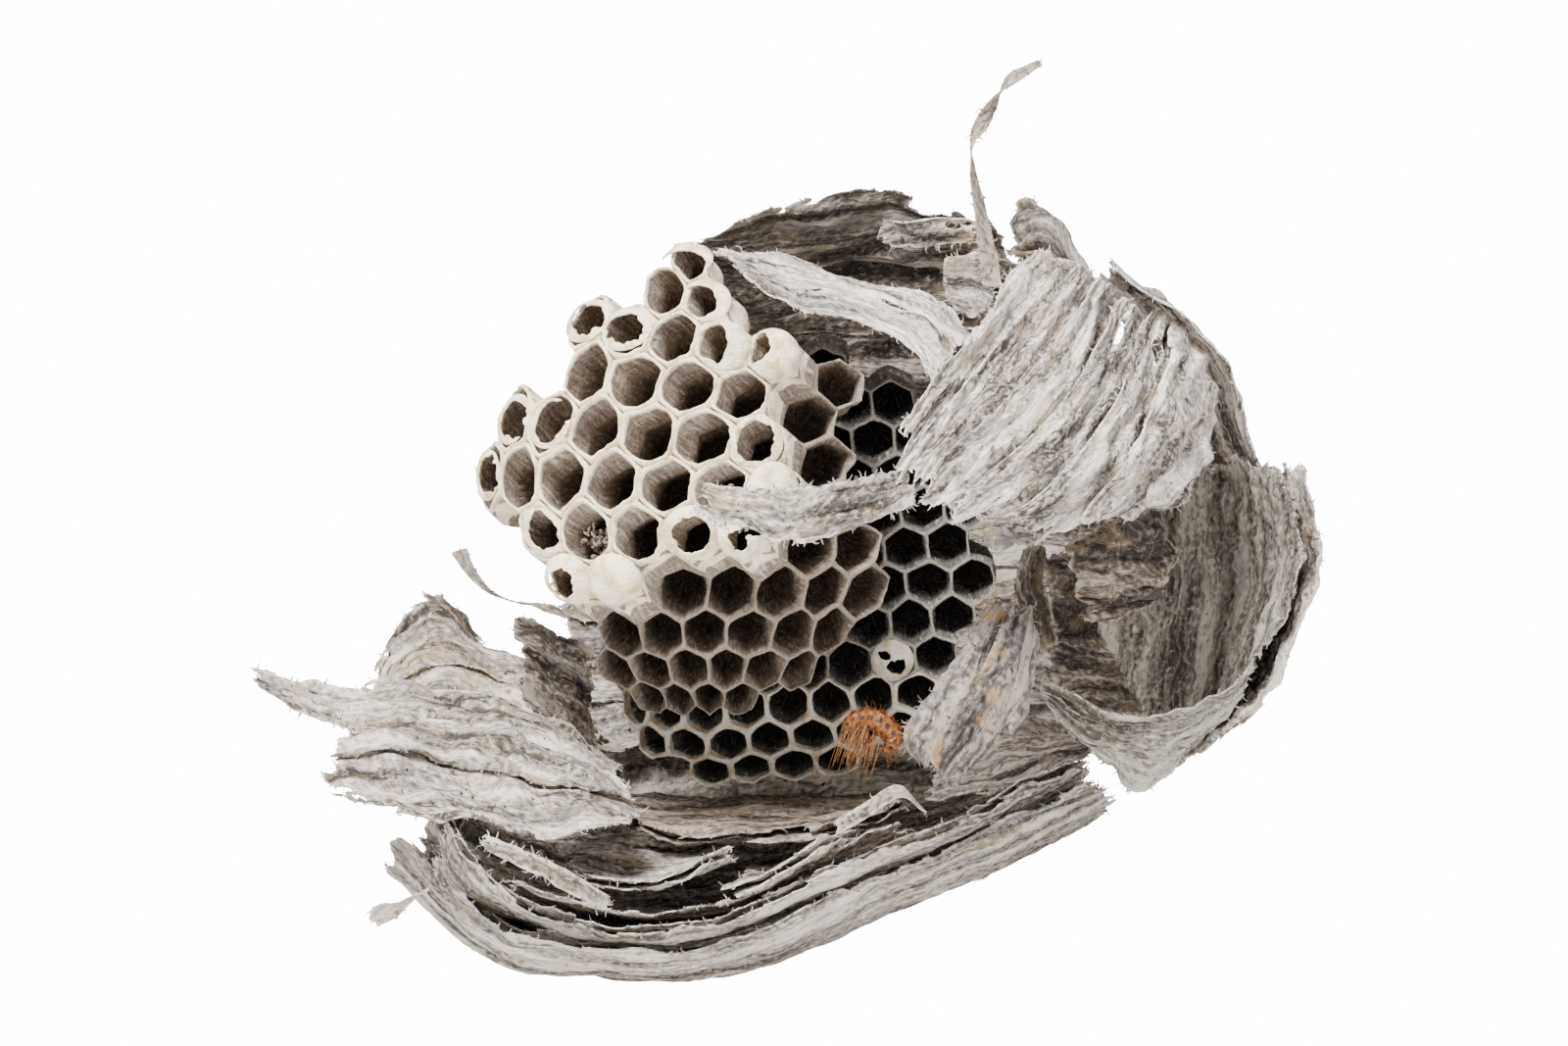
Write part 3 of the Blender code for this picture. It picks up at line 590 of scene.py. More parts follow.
def make_paper_group() -> Tree:
    """The node group for wasp paper: streaks of pulp in several shades, stains, specks, pale hairs and
    painted shade in creases.
    """
    tree = new_group(
        "Wasp paper", ("Pale", "Middle", "Deep", "Cool", "Stain"), ("Stained", "Specked", "Pale rim")
    )
    given = tree.nodes.new("NodeGroupInput").outputs
    place = wavy_place(tree, 3.2)
    pulp = stretched(tree, place, 0.04, 0.32, 2.0)
    streak = stretched(tree, place, 0.12, 2.1, 4.0)
    fibre = stretched(tree, place, 0.7, 8.0, 3.0)
    mottle = stretched(tree, place, 1.1, 1.6, 4.0)
    shade = mark_value(tree, "shade")
    mixed = weighed(tree, (pulp, 1.3), (streak, 0.55), (fibre, 0.3), (mottle, 0.75), (shade, 0.05))
    colour = blended(tree, ramp(tree, mixed, 1.25, 1.46), given["Deep"], given["Middle"])
    colour = blended(tree, ramp(tree, mixed, 1.44, 1.66), colour, given["Pale"])
    cool = ramp(tree, stretched(tree, place, 0.06, 0.5, 2.0), 0.54, 0.66, 0.0, 0.55)
    colour = blended(tree, cool, colour, given["Cool"])
    blotch = ramp(tree, stretched(tree, place, 0.16, 0.3, 3.0), 0.52, 0.68)
    colour = blended(tree, maths(tree, "MULTIPLY", blotch, given["Stained"]), colour, given["Stain"])
    hairs = maths(tree, "MAXIMUM", threads(tree, place, 0.5), threads(tree, place, -0.7))
    hairs = maths(tree, "MULTIPLY", hairs, ramp(tree, mottle, 0.45, 0.62, 0.0, 0.6))
    colour = blended(tree, hairs, colour, given["Pale"])
    rim = ramp(tree, mark_value(tree, "rim"), 0.1, 0.75, 1.0, 0.0)
    rim = maths(tree, "MULTIPLY", rim, ramp(tree, mottle, 0.38, 0.55, 0.25, 1.0))
    colour = blended(tree, maths(tree, "MULTIPLY", rim, given["Pale rim"]), colour, given["Pale"])
    # Painted shade: the colour is darkened towards the crease tint where the crease mark says the paper lies
    # in a crease.
    crease_shade = ramp(tree, mark_value(tree, "crease"), 0.25, 1.0, 0.0, 0.75)
    colour = blended(tree, crease_shade, colour, blended(tree, 1.0, colour, CREASE_SHADE_TINT, "MULTIPLY"))
    dots = maths(tree, "MAXIMUM", specks(tree, place, 0.75, 0.19), specks(tree, place, 1.9, 0.095))
    dots = maths(tree, "MULTIPLY", dots, given["Specked"])
    colour = blended(tree, dots, colour, PAPER_SPECK)
    height = weighed(tree, (streak, 1.1), (fibre, 0.5), (mottle, 0.8), (dots, -0.6))
    results = {"Colour": colour, "Height": height, "Roughness": ramp(tree, streak, 0.3, 0.7, 0.98, 0.8)}
    add_node(tree, "NodeGroupOutput", results)
    return tree


def make_cell_group() -> Tree:
    """The node group for comb cells: ringed brown paper inside with painted shade deeper down, and cream silk
    over the rims that have it, turned brown by painted shade where rims meet.
    """
    tree = new_group("Comb cells", ("Silk", "Old silk", "Rim", "Middle", "Deep", "Sheen"), ())
    given = tree.nodes.new("NodeGroupInput").outputs
    place = wavy_place(tree, 0.9)
    rings = stretched(tree, place, 0.35, 2.6, 3.0)
    runs = stretched(tree, place, 2.4, 0.3, 3.0)
    grain = stretched(tree, place, 3.0, 3.0, 4.0)
    patch = stretched(tree, place, 0.45, 0.45, 3.0)
    mixed = weighed(tree, (rings, 0.4), (grain, 0.4), (runs, 0.5))
    paper = blended(tree, ramp(tree, mixed, 0.5, 0.82), given["Deep"], given["Middle"])
    lining = maths(tree, "MULTIPLY", ramp(tree, runs, 0.5, 0.68), ramp(tree, patch, 0.4, 0.62, 0.0, 0.85))
    paper = blended(tree, lining, paper, given["Sheen"])
    # Painted shade: the colour darkens towards the deep tint as the deep mark grows, further down the cell.
    depth_shade = ramp(tree, mark_value(tree, "deep"), 3.0, 12.0, 0.0, 0.45)
    paper = blended(tree, depth_shade, paper, blended(tree, 1.0, paper, DEPTH_SHADE_TINT, "MULTIPLY"))
    rim = ramp(tree, mark_value(tree, "rim"), 0.12, 0.5, 1.0, 0.0)
    rim = maths(tree, "MULTIPLY", rim, ramp(tree, grain, 0.35, 0.6, 0.45, 1.0))
    paper = blended(tree, rim, paper, given["Rim"])
    silk = blended(tree, ramp(tree, patch, 0.42, 0.66), given["Silk"], given["Old silk"])
    silk = blended(tree, ramp(tree, grain, 0.55, 0.75, 0.0, 0.35), silk, given["Old silk"])
    edge = weighed(tree, (mark_value(tree, "silk"), 1.0), (grain, 0.55), (patch, 0.45))
    covered = ramp(tree, edge, 0.96, 1.08)
    # Painted shade: where the crease mark is set, at the corners where rims part, the silk turns to the
    # paper's middle brown in patches.
    crease_shade = maths(tree, "MULTIPLY", mark_value(tree, "crease"), ramp(tree, patch, 0.35, 0.6))
    silk = blended(tree, crease_shade, silk, given["Middle"])
    colour = blended(tree, covered, paper, silk)
    dots = maths(tree, "MULTIPLY", specks(tree, place, 0.8, 0.12), 0.9)
    colour = blended(tree, dots, colour, CELL_SPECK)
    height = weighed(tree, (rings, 0.6), (grain, 1.0))
    results = {"Colour": colour, "Height": height, "Roughness": ramp(tree, covered, 0.0, 1.0, 0.9, 0.62)}
    add_node(tree, "NodeGroupOutput", results)
    return tree


def full(colour: Colour) -> tuple[float, float, float, float]:
    """A colour with its alpha."""
    return (*colour, 1.0)


def socket_values(finish: Any) -> dict[str, Any]:
    """What a finish sets each input of its node group to: every field but relief, by the input's name."""
    return {
        field.replace("_", " ").capitalize(): full(value) if isinstance(value, tuple) else value
        for field, value in vars(finish).items()
        if field != "relief"
    }


def grouped_material(name: str, group: Tree, finish: Any) -> Any:
    """A material whose colour, roughness and bumps come from a node group.

    Args:
        name: The material's name.
        group: The node group.
        finish: What its inputs are set to, with the relief: the height of its bumps, in millimetres.

    Returns:
        The material and its Principled shader.
    """
    material = bpy.data.materials.new(name)
    material.use_nodes = True
    tree = material.node_tree
    shader = tree.nodes["Principled BSDF"]
    effect = tree.nodes.new("ShaderNodeGroup")
    effect.node_tree = group
    for label, value in socket_values(finish).items():
        effect.inputs[label].default_value = value
    inputs = {"Height": effect.outputs["Height"], "Distance": finish.relief * MM}
    bump = add_node(tree, "ShaderNodeBump", inputs)
    tree.links.new(effect.outputs["Colour"], shader.inputs["Base Color"])
    tree.links.new(effect.outputs["Roughness"], shader.inputs["Roughness"])
    tree.links.new(bump.outputs["Normal"], shader.inputs["Normal"])
    shader.inputs["Specular IOR Level"].default_value = SPECULAR
    return material, shader


@dataclass(frozen=True)
class PaperFinish:
    """One kind of wasp paper.

    Attributes:
        pale: Its lightest streaks and torn rims.
        middle: Most of it.
        deep: Its darkest streaks.
        cool: Its blue-grey streaks.
        stain: Its stains.
        stained: How strong the stains are.
        specked: How strong the dark specks are.
        pale_rim: How pale its torn edges are.
        relief: Height of its finest bumps, in millimetres.
    """

    pale: Colour
    middle: Colour
    deep: Colour
    cool: Colour
    stain: Colour = (0.42, 0.31, 0.17)
    stained: float = 0.35
    specked: float = 0.8
    pale_rim: float = 0.8
    relief: float = 0.45

    def material(self, name: str, group: Tree) -> bpy.types.Material:
        """The finish as a material."""
        return grouped_material(name, group, self)[0]


class Paper(Enum):
    """The kinds of wasp paper in this nest, with the name of each one's material."""

    BRIGHT = "bright_paper"
    GREY = "grey_paper"
    HULL = "hull_paper"
    OLIVE = "olive_paper"
    BROWN = "brown_paper"
    DUSKY = "dusky_paper"
    LEAF = "leaf_paper"
    FADED = "faded_paper"


PAPERS = {
    Paper.BRIGHT: PaperFinish(
        (0.93, 0.84, 0.745), (0.43, 0.377, 0.332), (0.075, 0.06, 0.05), (0.26, 0.255, 0.27),
        (0.50, 0.375, 0.235), 0.5, 0.8,
    ),
    Paper.GREY: PaperFinish(
        (0.70, 0.625, 0.55), (0.29, 0.25, 0.217), (0.055, 0.044, 0.036), (0.20, 0.195, 0.205), stained=0.4,
        specked=0.9,
    ),
    Paper.HULL: PaperFinish(
        (0.66, 0.585, 0.51), (0.28, 0.242, 0.21), (0.06, 0.049, 0.04), (0.20, 0.20, 0.21), stained=0.35,
    ),
    Paper.OLIVE: PaperFinish(
        (0.50, 0.45, 0.385), (0.19, 0.167, 0.138), (0.042, 0.035, 0.028), (0.16, 0.155, 0.15),
        (0.20, 0.18, 0.11), 0.4, 0.8,
    ),
    Paper.BROWN: PaperFinish(
        (0.45, 0.375, 0.31), (0.135, 0.107, 0.085), (0.03, 0.023, 0.018), (0.14, 0.13, 0.13), stained=0.3,
        pale_rim=0.6,
    ),
    Paper.DUSKY: PaperFinish(
        (0.38, 0.325, 0.275), (0.11, 0.09, 0.074), (0.024, 0.019, 0.015), (0.10, 0.095, 0.098), stained=0.2,
    ),
    Paper.LEAF: PaperFinish(
        (0.33, 0.285, 0.25), (0.085, 0.073, 0.065), (0.02, 0.017, 0.014), (0.16, 0.16, 0.17),
        (0.55, 0.32, 0.13), 0.6, 0.9,
    ),
    Paper.FADED: PaperFinish(
        (0.66, 0.575, 0.49), (0.25, 0.21, 0.175), (0.045, 0.035, 0.028), (0.20, 0.19, 0.19), stained=0.5,
        specked=1.0,
    ),
}
SLOTS = {Paper.BROWN: "brown_paper", Paper.FADED: "brown_paper"}


@dataclass(frozen=True)
class CellFinish:
    """The paper and silk of the comb's cells.

    Attributes:
        silk: Clean silk.
        old_silk: Stained silk.
        rim: The paper's edges.
        middle: Its lighter parts.
        deep: Its darker parts.
        sheen: The thin pale lining of some cells.
        relief: Height of the finest bumps, in millimetres.
    """

    silk: Colour = (0.98, 0.87, 0.66)
    old_silk: Colour = (0.64, 0.49, 0.28)
    rim: Colour = (0.20, 0.158, 0.12)
    middle: Colour = (0.46, 0.36, 0.275)
    deep: Colour = (0.15, 0.11, 0.08)
    sheen: Colour = (0.70, 0.67, 0.62)
    relief: float = 0.3

    def material(self, name: str, group: Tree) -> bpy.types.Material:
        """The finish as a material."""
        material, shader = grouped_material(name, group, self)
        shader.inputs["Sheen Weight"].default_value = SILK_SHEEN
        return material


@dataclass(frozen=True)
class SkinFinish:
    """The amber skin that a grub shed, with rows of brown spots.

    Attributes:
        amber: Its darker patches.
        orange: Its lighter patches.
        spot: Its spots.
        relief: Height of its bumps, in millimetres.
        roughness: How rough it is.
        glow: How much light it lets through.
    """

    amber: Colour = (0.22, 0.066, 0.01)
    orange: Colour = (0.33, 0.115, 0.016)
    spot: Colour = (0.06, 0.018, 0.006)
    relief: float = 0.2
    roughness: float = 0.42
    glow: float = 0.25

    def material(self, name: str) -> bpy.types.Material:
        """The finish as a material."""
        material = bpy.data.materials.new(name)
        material.use_nodes = True
        tree = material.node_tree
        shader = tree.nodes["Principled BSDF"]
        place = add_node(tree, "ShaderNodeUVMap", uv_map=FIBRE_MAP).outputs[0]
        cloud = stretched(tree, place, 1.4, 1.4, 3.0)
        colour = blended(tree, ramp(tree, cloud, 0.35, 0.65), full(self.amber), full(self.orange))
        spots = ramp(tree, mark_value(tree, "crease"), 0.4, 0.6)
        colour = blended(tree, spots, colour, full(self.spot))
        tree.links.new(colour, shader.inputs["Base Color"])
        bump = add_node(tree, "ShaderNodeBump", {"Height": cloud, "Distance": self.relief * MM})
        tree.links.new(bump.outputs["Normal"], shader.inputs["Normal"])
        shader.inputs["Roughness"].default_value = self.roughness
        shader.inputs["Subsurface Weight"].default_value = self.glow
        shader.inputs["Subsurface Scale"].default_value = MM
        return material


# ---------------------------------------------------------------- where the sheets lie

# Control points of the envelope's sheets, as rows of (across, up, out).
NETS = {
    "right_wing": (
        ((30, 32, -2), (25, 26.6, 8), (20.7, 20.5, 18), (16.4, 15, 27), (12.4, 10, 33)),
        ((35, 29, -2), (28.4, 20.8, 11), (22, 13.6, 23), (16.2, 7.9, 32), (12.8, 3.5, 37)),
        ((38.7, 26.2, -4), (33, 17.3, 12), (26.4, 10.2, 25), (19.4, 4.6, 34), (13.9, 0, 38)),
        ((43, 24, -6), (38.8, 15.2, 9), (33.2, 8.1, 22), (27, 2.5, 32), (21.5, -0.2, 36)),
        ((47.5, 23, -10), (44.4, 14.2, 4), (40.5, 8.2, 15), (35.3, 2, 24), (30.5, -2.6, 29)),
        ((54, 16, -16), (52, 11, -8), (49.4, 6.7, 0), (45, 2, 8), (39.4, -0.8, 15)),
    ),
    "wing_tongue": (
        ((-9.5, 4.8, 36), (-4.3, 3.5, 38), (3.2, 3.7, 38.5), (8.5, 4.9, 36.5), (13.5, 6, 32)),
        ((-10.2, 1.4, 36), (-4.3, -1.3, 39), (1.1, -2.4, 39.5), (7.5, -0.7, 36.5), (14, 1.4, 32.5)),
    ),
    "bridge_sheet": (
        ((-8.3, 31.9, 5), (0, 31.5, 0), (9.3, 29, -2), (17.4, 26.5, 0), (21.3, 23, 4)),
        ((-6.2, 30, 12), (1.1, 27.7, 10), (9.1, 26, 9), (15.9, 22.8, 11), (19, 19.8, 12)),
        ((-4.5, 27.8, 17), (1.1, 24.4, 17), (9, 23.4, 15), (14.6, 19.9, 16), (16.2, 16, 19)),
    ),
    "crest_crumple": (
        ((27, 39.5, -19), (32.1, 37.4, -16), (36, 33, -12)),
        ((27.5, 35, -14), (31.8, 35.5, -10), (36.5, 30.5, -9)),
        ((27.7, 31.5, -11), (31.6, 31.8, -9), (35.2, 29.2, -7)),
    ),
    "roof_patch": (
        ((12.9, 37, -19), (18, 37.5, -19), (23.5, 37, -18)),
        ((11.4, 33.8, -21), (17.5, 34.4, -21), (23, 34.6, -19)),
    ),
    "inner_fold": (
        ((20.8, 32.6, -16), (22.8, 33, -17), (24.6, 32.6, -14)),
        ((20.4, 29, -12), (22.4, 29, -13), (24.2, 28.3, -10)),
        ((21, 26.2, -6), (22.4, 26, -7), (23.6, 26, -5)),
    ),
    "right_band": (
        ((41, 29.4, -9), (47.4, 25.4, -12), (54.6, 17.6, -18), (57.4, 10, -20)),
        ((41, 30, -19), (47, 25, -22), (53.2, 17.6, -27), (56.4, 10, -29)),
        ((38.5, 28, -30), (44, 23.6, -33), (49, 17, -37), (51.4, 10, -39)),
    ),
    "cup_wall": (
        ((44, 4.1, -33), (51, 4.7, -30.5), (57.2, 5.2, -21), (60, 4.5, -8)),
        ((43.6, -4.7, -37), (52.4, -4.7, -34), (59, -3.9, -24), (61.8, -3.2, -9)),
        ((42.6, -14.8, -37), (51.4, -14.7, -34), (57.6, -13.1, -24), (60, -10.3, -9)),
        ((41, -22.8, -32.6), (48.2, -23, -29), (54, -20.6, -20), (56.4, -17.7, -9)),
        ((40.2, -27.8, -26), (44.4, -28.6, -19), (49, -25.6, -14), (52.8, -21.8, -8)),
    ),
    "cup_skin": (
        ((61.8, 6.4, -4), (59.6, 7, -21.6), (53, 7, -33)),
        ((63.8, -3, -5), (61.6, -4, -25.6), (54.4, -5, -36.8)),
        ((62.2, -11, -5.6), (59.8, -14, -25.6), (53.2, -15.8, -37)),
        ((58.6, -19, -5.6), (56, -22.2, -21.6), (49.8, -25, -31.8)),
        ((54.8, -23.6, -4.4), (50.6, -27.8, -14.8), (45.6, -31, -21)),
    ),
    "pocket_fold": (
        ((29.3, -16.6, 14), (33.8, -19.9, 15), (41.9, -22, 12), (50.7, -19.6, 4), (54.6, -16.8, 0)),
        ((31.3, -21, 10), (36.4, -24.3, 10), (43.6, -25.7, 6), (51.3, -22.6, -1), (55, -19.4, -3)),
        ((35.5, -26, 3), (38.8, -28.4, 2), (42.4, -30.5, 0), (48.1, -27, -4), (52, -23.6, -5.5)),
    ),
    "side_strip": (
        ((27.8, -2.5, 12), (26.2, -7.6, 14), (27, -11.5, 14), (28.6, -14.6, 14.5)),
        ((30.4, -2.8, 11), (29.9, -7.6, 12.6), (31, -11.5, 12), (31.8, -15, 13)),
    ),
    "leaf_flap": (
        ((23.2, -9.4, 17), (20, -14.1, 21), (15.6, -20, 24), (13.4, -24.2, 25), (15.4, -27.4, 25)),
        ((26.6, -9.7, 18.5), (24.4, -16.3, 22.4), (20.7, -22.6, 25.4), (17.3, -26.8, 26),
         (17.1, -29.4, 25.8)),
        ((29.6, -12, 17.5), (28.9, -17.7, 19.6), (26.1, -23.6, 22.6), (22.3, -28, 23.8), (19.5, -30.3, 24.6)),
    ),
    "curtain": (
        ((32.6, 1, 15), (38.5, 2.2, 10), (44.6, 3, 0)),
        ((32.1, -4.2, 15), (38.6, -3.6, 10), (45.8, -2.6, -1)),
        ((34.5, -8.7, 13), (39.3, -8.2, 9.4), (45.2, -7.4, 0)),
        ((35.1, -12.1, 12), (38.8, -11.1, 9), (44.3, -9.4, 1.6)),
    ),
    "partition": (
        ((31.7, -3.5, -3), (36.8, -4, -10)),
        ((32.3, -12.6, -3), (38.6, -13.4, -10)),
        ((33.3, -19.5, -2), (41.2, -20.6, -8)),
    ),
    "left_flap": (
        ((-52.3, -19.8, 5), (-42.8, -19.3, 2), (-33.7, -20.8, 0), (-26, -24.7, 1), (-20.1, -28, 6)),
        ((-54.3, -24, 12), (-44.3, -24.1, 10), (-34.1, -25.8, 9), (-25, -28.9, 9.6), (-18.1, -31.2, 13)),
        ((-53.4, -29.9, 18), (-44.7, -29.9, 18), (-35.8, -31.4, 18), (-26.8, -33.4, 18), (-17.9, -33.8, 19)),
        ((-47, -33, 23), (-41.5, -33.6, 23.6), (-33.1, -33.8, 23.6), (-26, -35.4, 23), (-19.4, -35.4, 22.6)),
    ),
    "left_tongue": (
        ((-64.3, -17.2, -8), (-59, -18.6, -6), (-53, -19.6, -4)),
        ((-63.4, -19.6, -7), (-58.2, -22.3, -4.6), (-51.6, -24.4, -3)),
    ),
    "left_wall": (
        ((-52, -20, -21), (-49, -12.5, -23), (-44.5, -9.5, -25), (-38, -13, -26), (-31, -15, -25)),
        ((-50, -25, -15), (-47, -20, -17), (-42, -18, -19), (-36.4, -20, -20), (-30, -21, -19)),
        ((-46, -29, -8), (-43, -26.5, -9), (-38.6, -25.6, -11), (-34, -26, -12), (-29, -26.5, -12)),
    ),
    "left_inner_fold": (
        ((-30.5, -12.6, -18), (-26, -14.4, -18)),
        ((-29.6, -19.4, -9), (-25, -22.6, -14)),
        ((-28.4, -26, -5), (-23.4, -29.6, -8)),
    ),
    "ledge_upper": (
        ((-20, -33, -14), (-10, -33.4, -14), (2, -33.4, -14), (12, -32.6, -14), (15.5, -31.4, -12)),
        ((-19, -34.2, -2), (-10, -34.8, -2), (2, -34.8, -2), (11, -34, -2), (15, -32, -2)),
        ((-16.8, -35, 10), (-10.2, -36, 11), (0, -35.4, 12), (8, -34.2, 11), (13.8, -32.4, 9)),
    ),
    "ledge_left": (
        ((-24.5, -37.6, 4), (-18, -38, 3), (-12, -38.2, 3), (-7, -38, 4)),
        ((-24.8, -39, 12), (-18, -39.8, 12), (-11.6, -39.4, 13), (-6.4, -38.2, 13)),
        ((-23.4, -40.6, 20), (-16.7, -41, 21), (-11.1, -39.4, 21), (-6.6, -36.6, 20)),
    ),
    "ledge_right": (
        ((-4.6, -40, 2), (-1, -39.8, 1), (5, -38.2, 1), (10, -36.4, 0)),
        ((-4.8, -40.8, 10), (0, -40, 10), (5.4, -37.8, 10), (9.6, -35.6, 8)),
        ((-8.4, -42.2, 20.5), (-3.4, -40.8, 19.6), (1, -38.4, 18.6), (4.7, -36, 17)),
    ),
    "narrow_strip": (
        ((5.4, -34, 19), (8.9, -31.9, 19), (12.6, -29.8, 19), (15, -31.6, 18)),
        ((6, -35.2, 19.4), (9.6, -33.1, 19.4), (13.2, -31, 19.4), (15.8, -32.6, 18.4)),
    ),
    "floor_sheet": (
        ((18.8, -26.7, -5), (25, -25.4, -8), (31.5, -25.8, -13)),
        ((17.6, -30, 4), (25, -28.6, 0), (32, -27.6, -6)),
        ((16.8, -32, 9.4), (24.6, -30.4, 6), (31.2, -28.8, 0.6)),
    ),
    "front_scroll": (
        ((-34.1, -34.6, 28), (-28.3, -36.8, 29), (-22.9, -39.7, 29), (-19.1, -42, 28)),
        ((-33.8, -36.2, 29), (-28.3, -38.9, 30), (-23.4, -41.4, 30), (-20.2, -43, 29)),
    ),
    "hull_inner": (
        ((-32, -41, 23.6), (-26, -43, 23.6), (-17.7, -44.6, 22), (-8.9, -44.3, 20), (-1.1, -42, 18),
         (5.6, -38.6, 15), (13.4, -35.2, 12)),
        ((-31.5, -41.4, 10), (-26, -43.6, 9), (-17.5, -45.2, 8), (-9, -45.2, 7), (-0.5, -43.6, 5),
         (7, -40.4, 2), (14.6, -37.4, 0)),
        ((-31, -37.6, -4), (-25.6, -40.4, -9), (-17, -41, -11), (-9, -41, -12), (0, -41, -12),
         (8, -39.8, -13), (15.4, -37.6, -15)),
    ),
    "hull_middle": (
        ((-38.4, -31.6, 30), (-36, -38.5, 27), (-29.6, -43.8, 26), (-22.1, -46.4, 24), (-12.2, -46.9, 22),
         (-2.2, -44.4, 20), (7.8, -40, 17), (18, -36.2, 14), (27.4, -32.8, 8), (35, -29.6, 1)),
        ((-41, -38.2, 14), (-38.5, -42, 14), (-29.5, -46.4, 12), (-21, -48, 11), (-12, -48.4, 10),
         (-1.5, -46.4, 8), (9.3, -42.6, 5), (19.7, -38.8, 2), (29, -34.6, -4), (36.4, -30.2, -12)),
        ((-40.6, -36, 0), (-38.2, -40, -4), (-29, -43.8, -8), (-20, -44.2, -9), (-11, -44.3, -10),
         (0, -43.8, -10), (11, -42, -11), (21, -39.2, -14), (30, -35.8, -19), (37, -31.6, -26)),
        ((-37.6, -27, -14), (-35.6, -33, -20), (-28, -36.6, -24), (-20, -36.6, -26), (-11, -36.6, -27),
         (0, -36.4, -28), (11, -36, -28), (21, -35, -29), (29, -32.6, -31), (35, -30, -34)),
    ),
    "hull_outer": (
        ((-43.4, -36.5, 17), (-33.2, -47, 23), (-22.2, -49.6, 22), (-12.2, -50, 20), (-2.2, -47.8, 18),
         (7.9, -43, 15), (18.1, -39.2, 12), (27.6, -35.6, 6), (36.8, -32.4, -2)),
        ((-45, -41.4, 7), (-33, -50.4, 9), (-21, -52, 8), (-12, -52.5, 7), (-1, -50.8, 5), (10, -46.4, 2),
         (20.5, -42.4, -1), (30, -38.4, -7), (39, -34, -14)),
        ((-44, -40.6, -6), (-32, -48.3, -10), (-20, -49, -12), (-11, -49, -13), (0, -49, -13),
         (11, -46.6, -14), (21.5, -43.4, -17), (31, -40, -22), (39.4, -36, -28)),
        ((-42, -34, -20), (-32, -42, -30), (-20, -42, -33), (-11, -42, -34), (0, -42, -34), (11, -41.6, -34),
         (21.5, -41, -34), (31, -39.4, -35), (38.6, -36.6, -38)),
        ((-38, -22, -30), (-29, -23, -42), (-20, -22, -47.5), (-11, -21, -50), (0, -20, -51.4),
         (11, -20, -51.4), (21.5, -21, -50), (30, -22, -48), (37.5, -24, -44)),
    ),
}

# Stations of the twisted ribbons: across, up, out, width, and twist in degrees.
RIBBON = (
    (24.6, 27.6, 3, 2.2, 0),
    (24.4, 30.6, 1, 2.0, 10),
    (23.6, 35.8, 0, 1.6, 25),
    (22.6, 41, 0, 1.1, 50),
    (22.3, 44.8, 0, 0.9, 110),
    (23.6, 47.4, -1, 1.6, 190),
    (25.4, 50.6, -2, 2.2, 250),
    (27.3, 52.9, -2, 1.6, 320),
    (30.5, 54.9, -3, 0.8, 350),
)
CURL = (
    (-40, -3, -17, 1.6, 0),
    (-38.4, -6, -17, 1.2, 40),
    (-35.6, -8.6, -16, 1.2, 80),
    (-31.4, -9.8, -15, 1.6, 100),
)
SCRAP_LEFT = (
    (-47.6, -46.4, 12, 1.2, 0),
    (-46, -45, 13, 2.2, 30),
    (-43.4, -43.6, 15, 1.4, 50),
)


# ---------------------------------------------------------------- torn sheets

# Broad dents that all the sheets share, so that neighbours are dented together.
DENTS = Noise(2024)


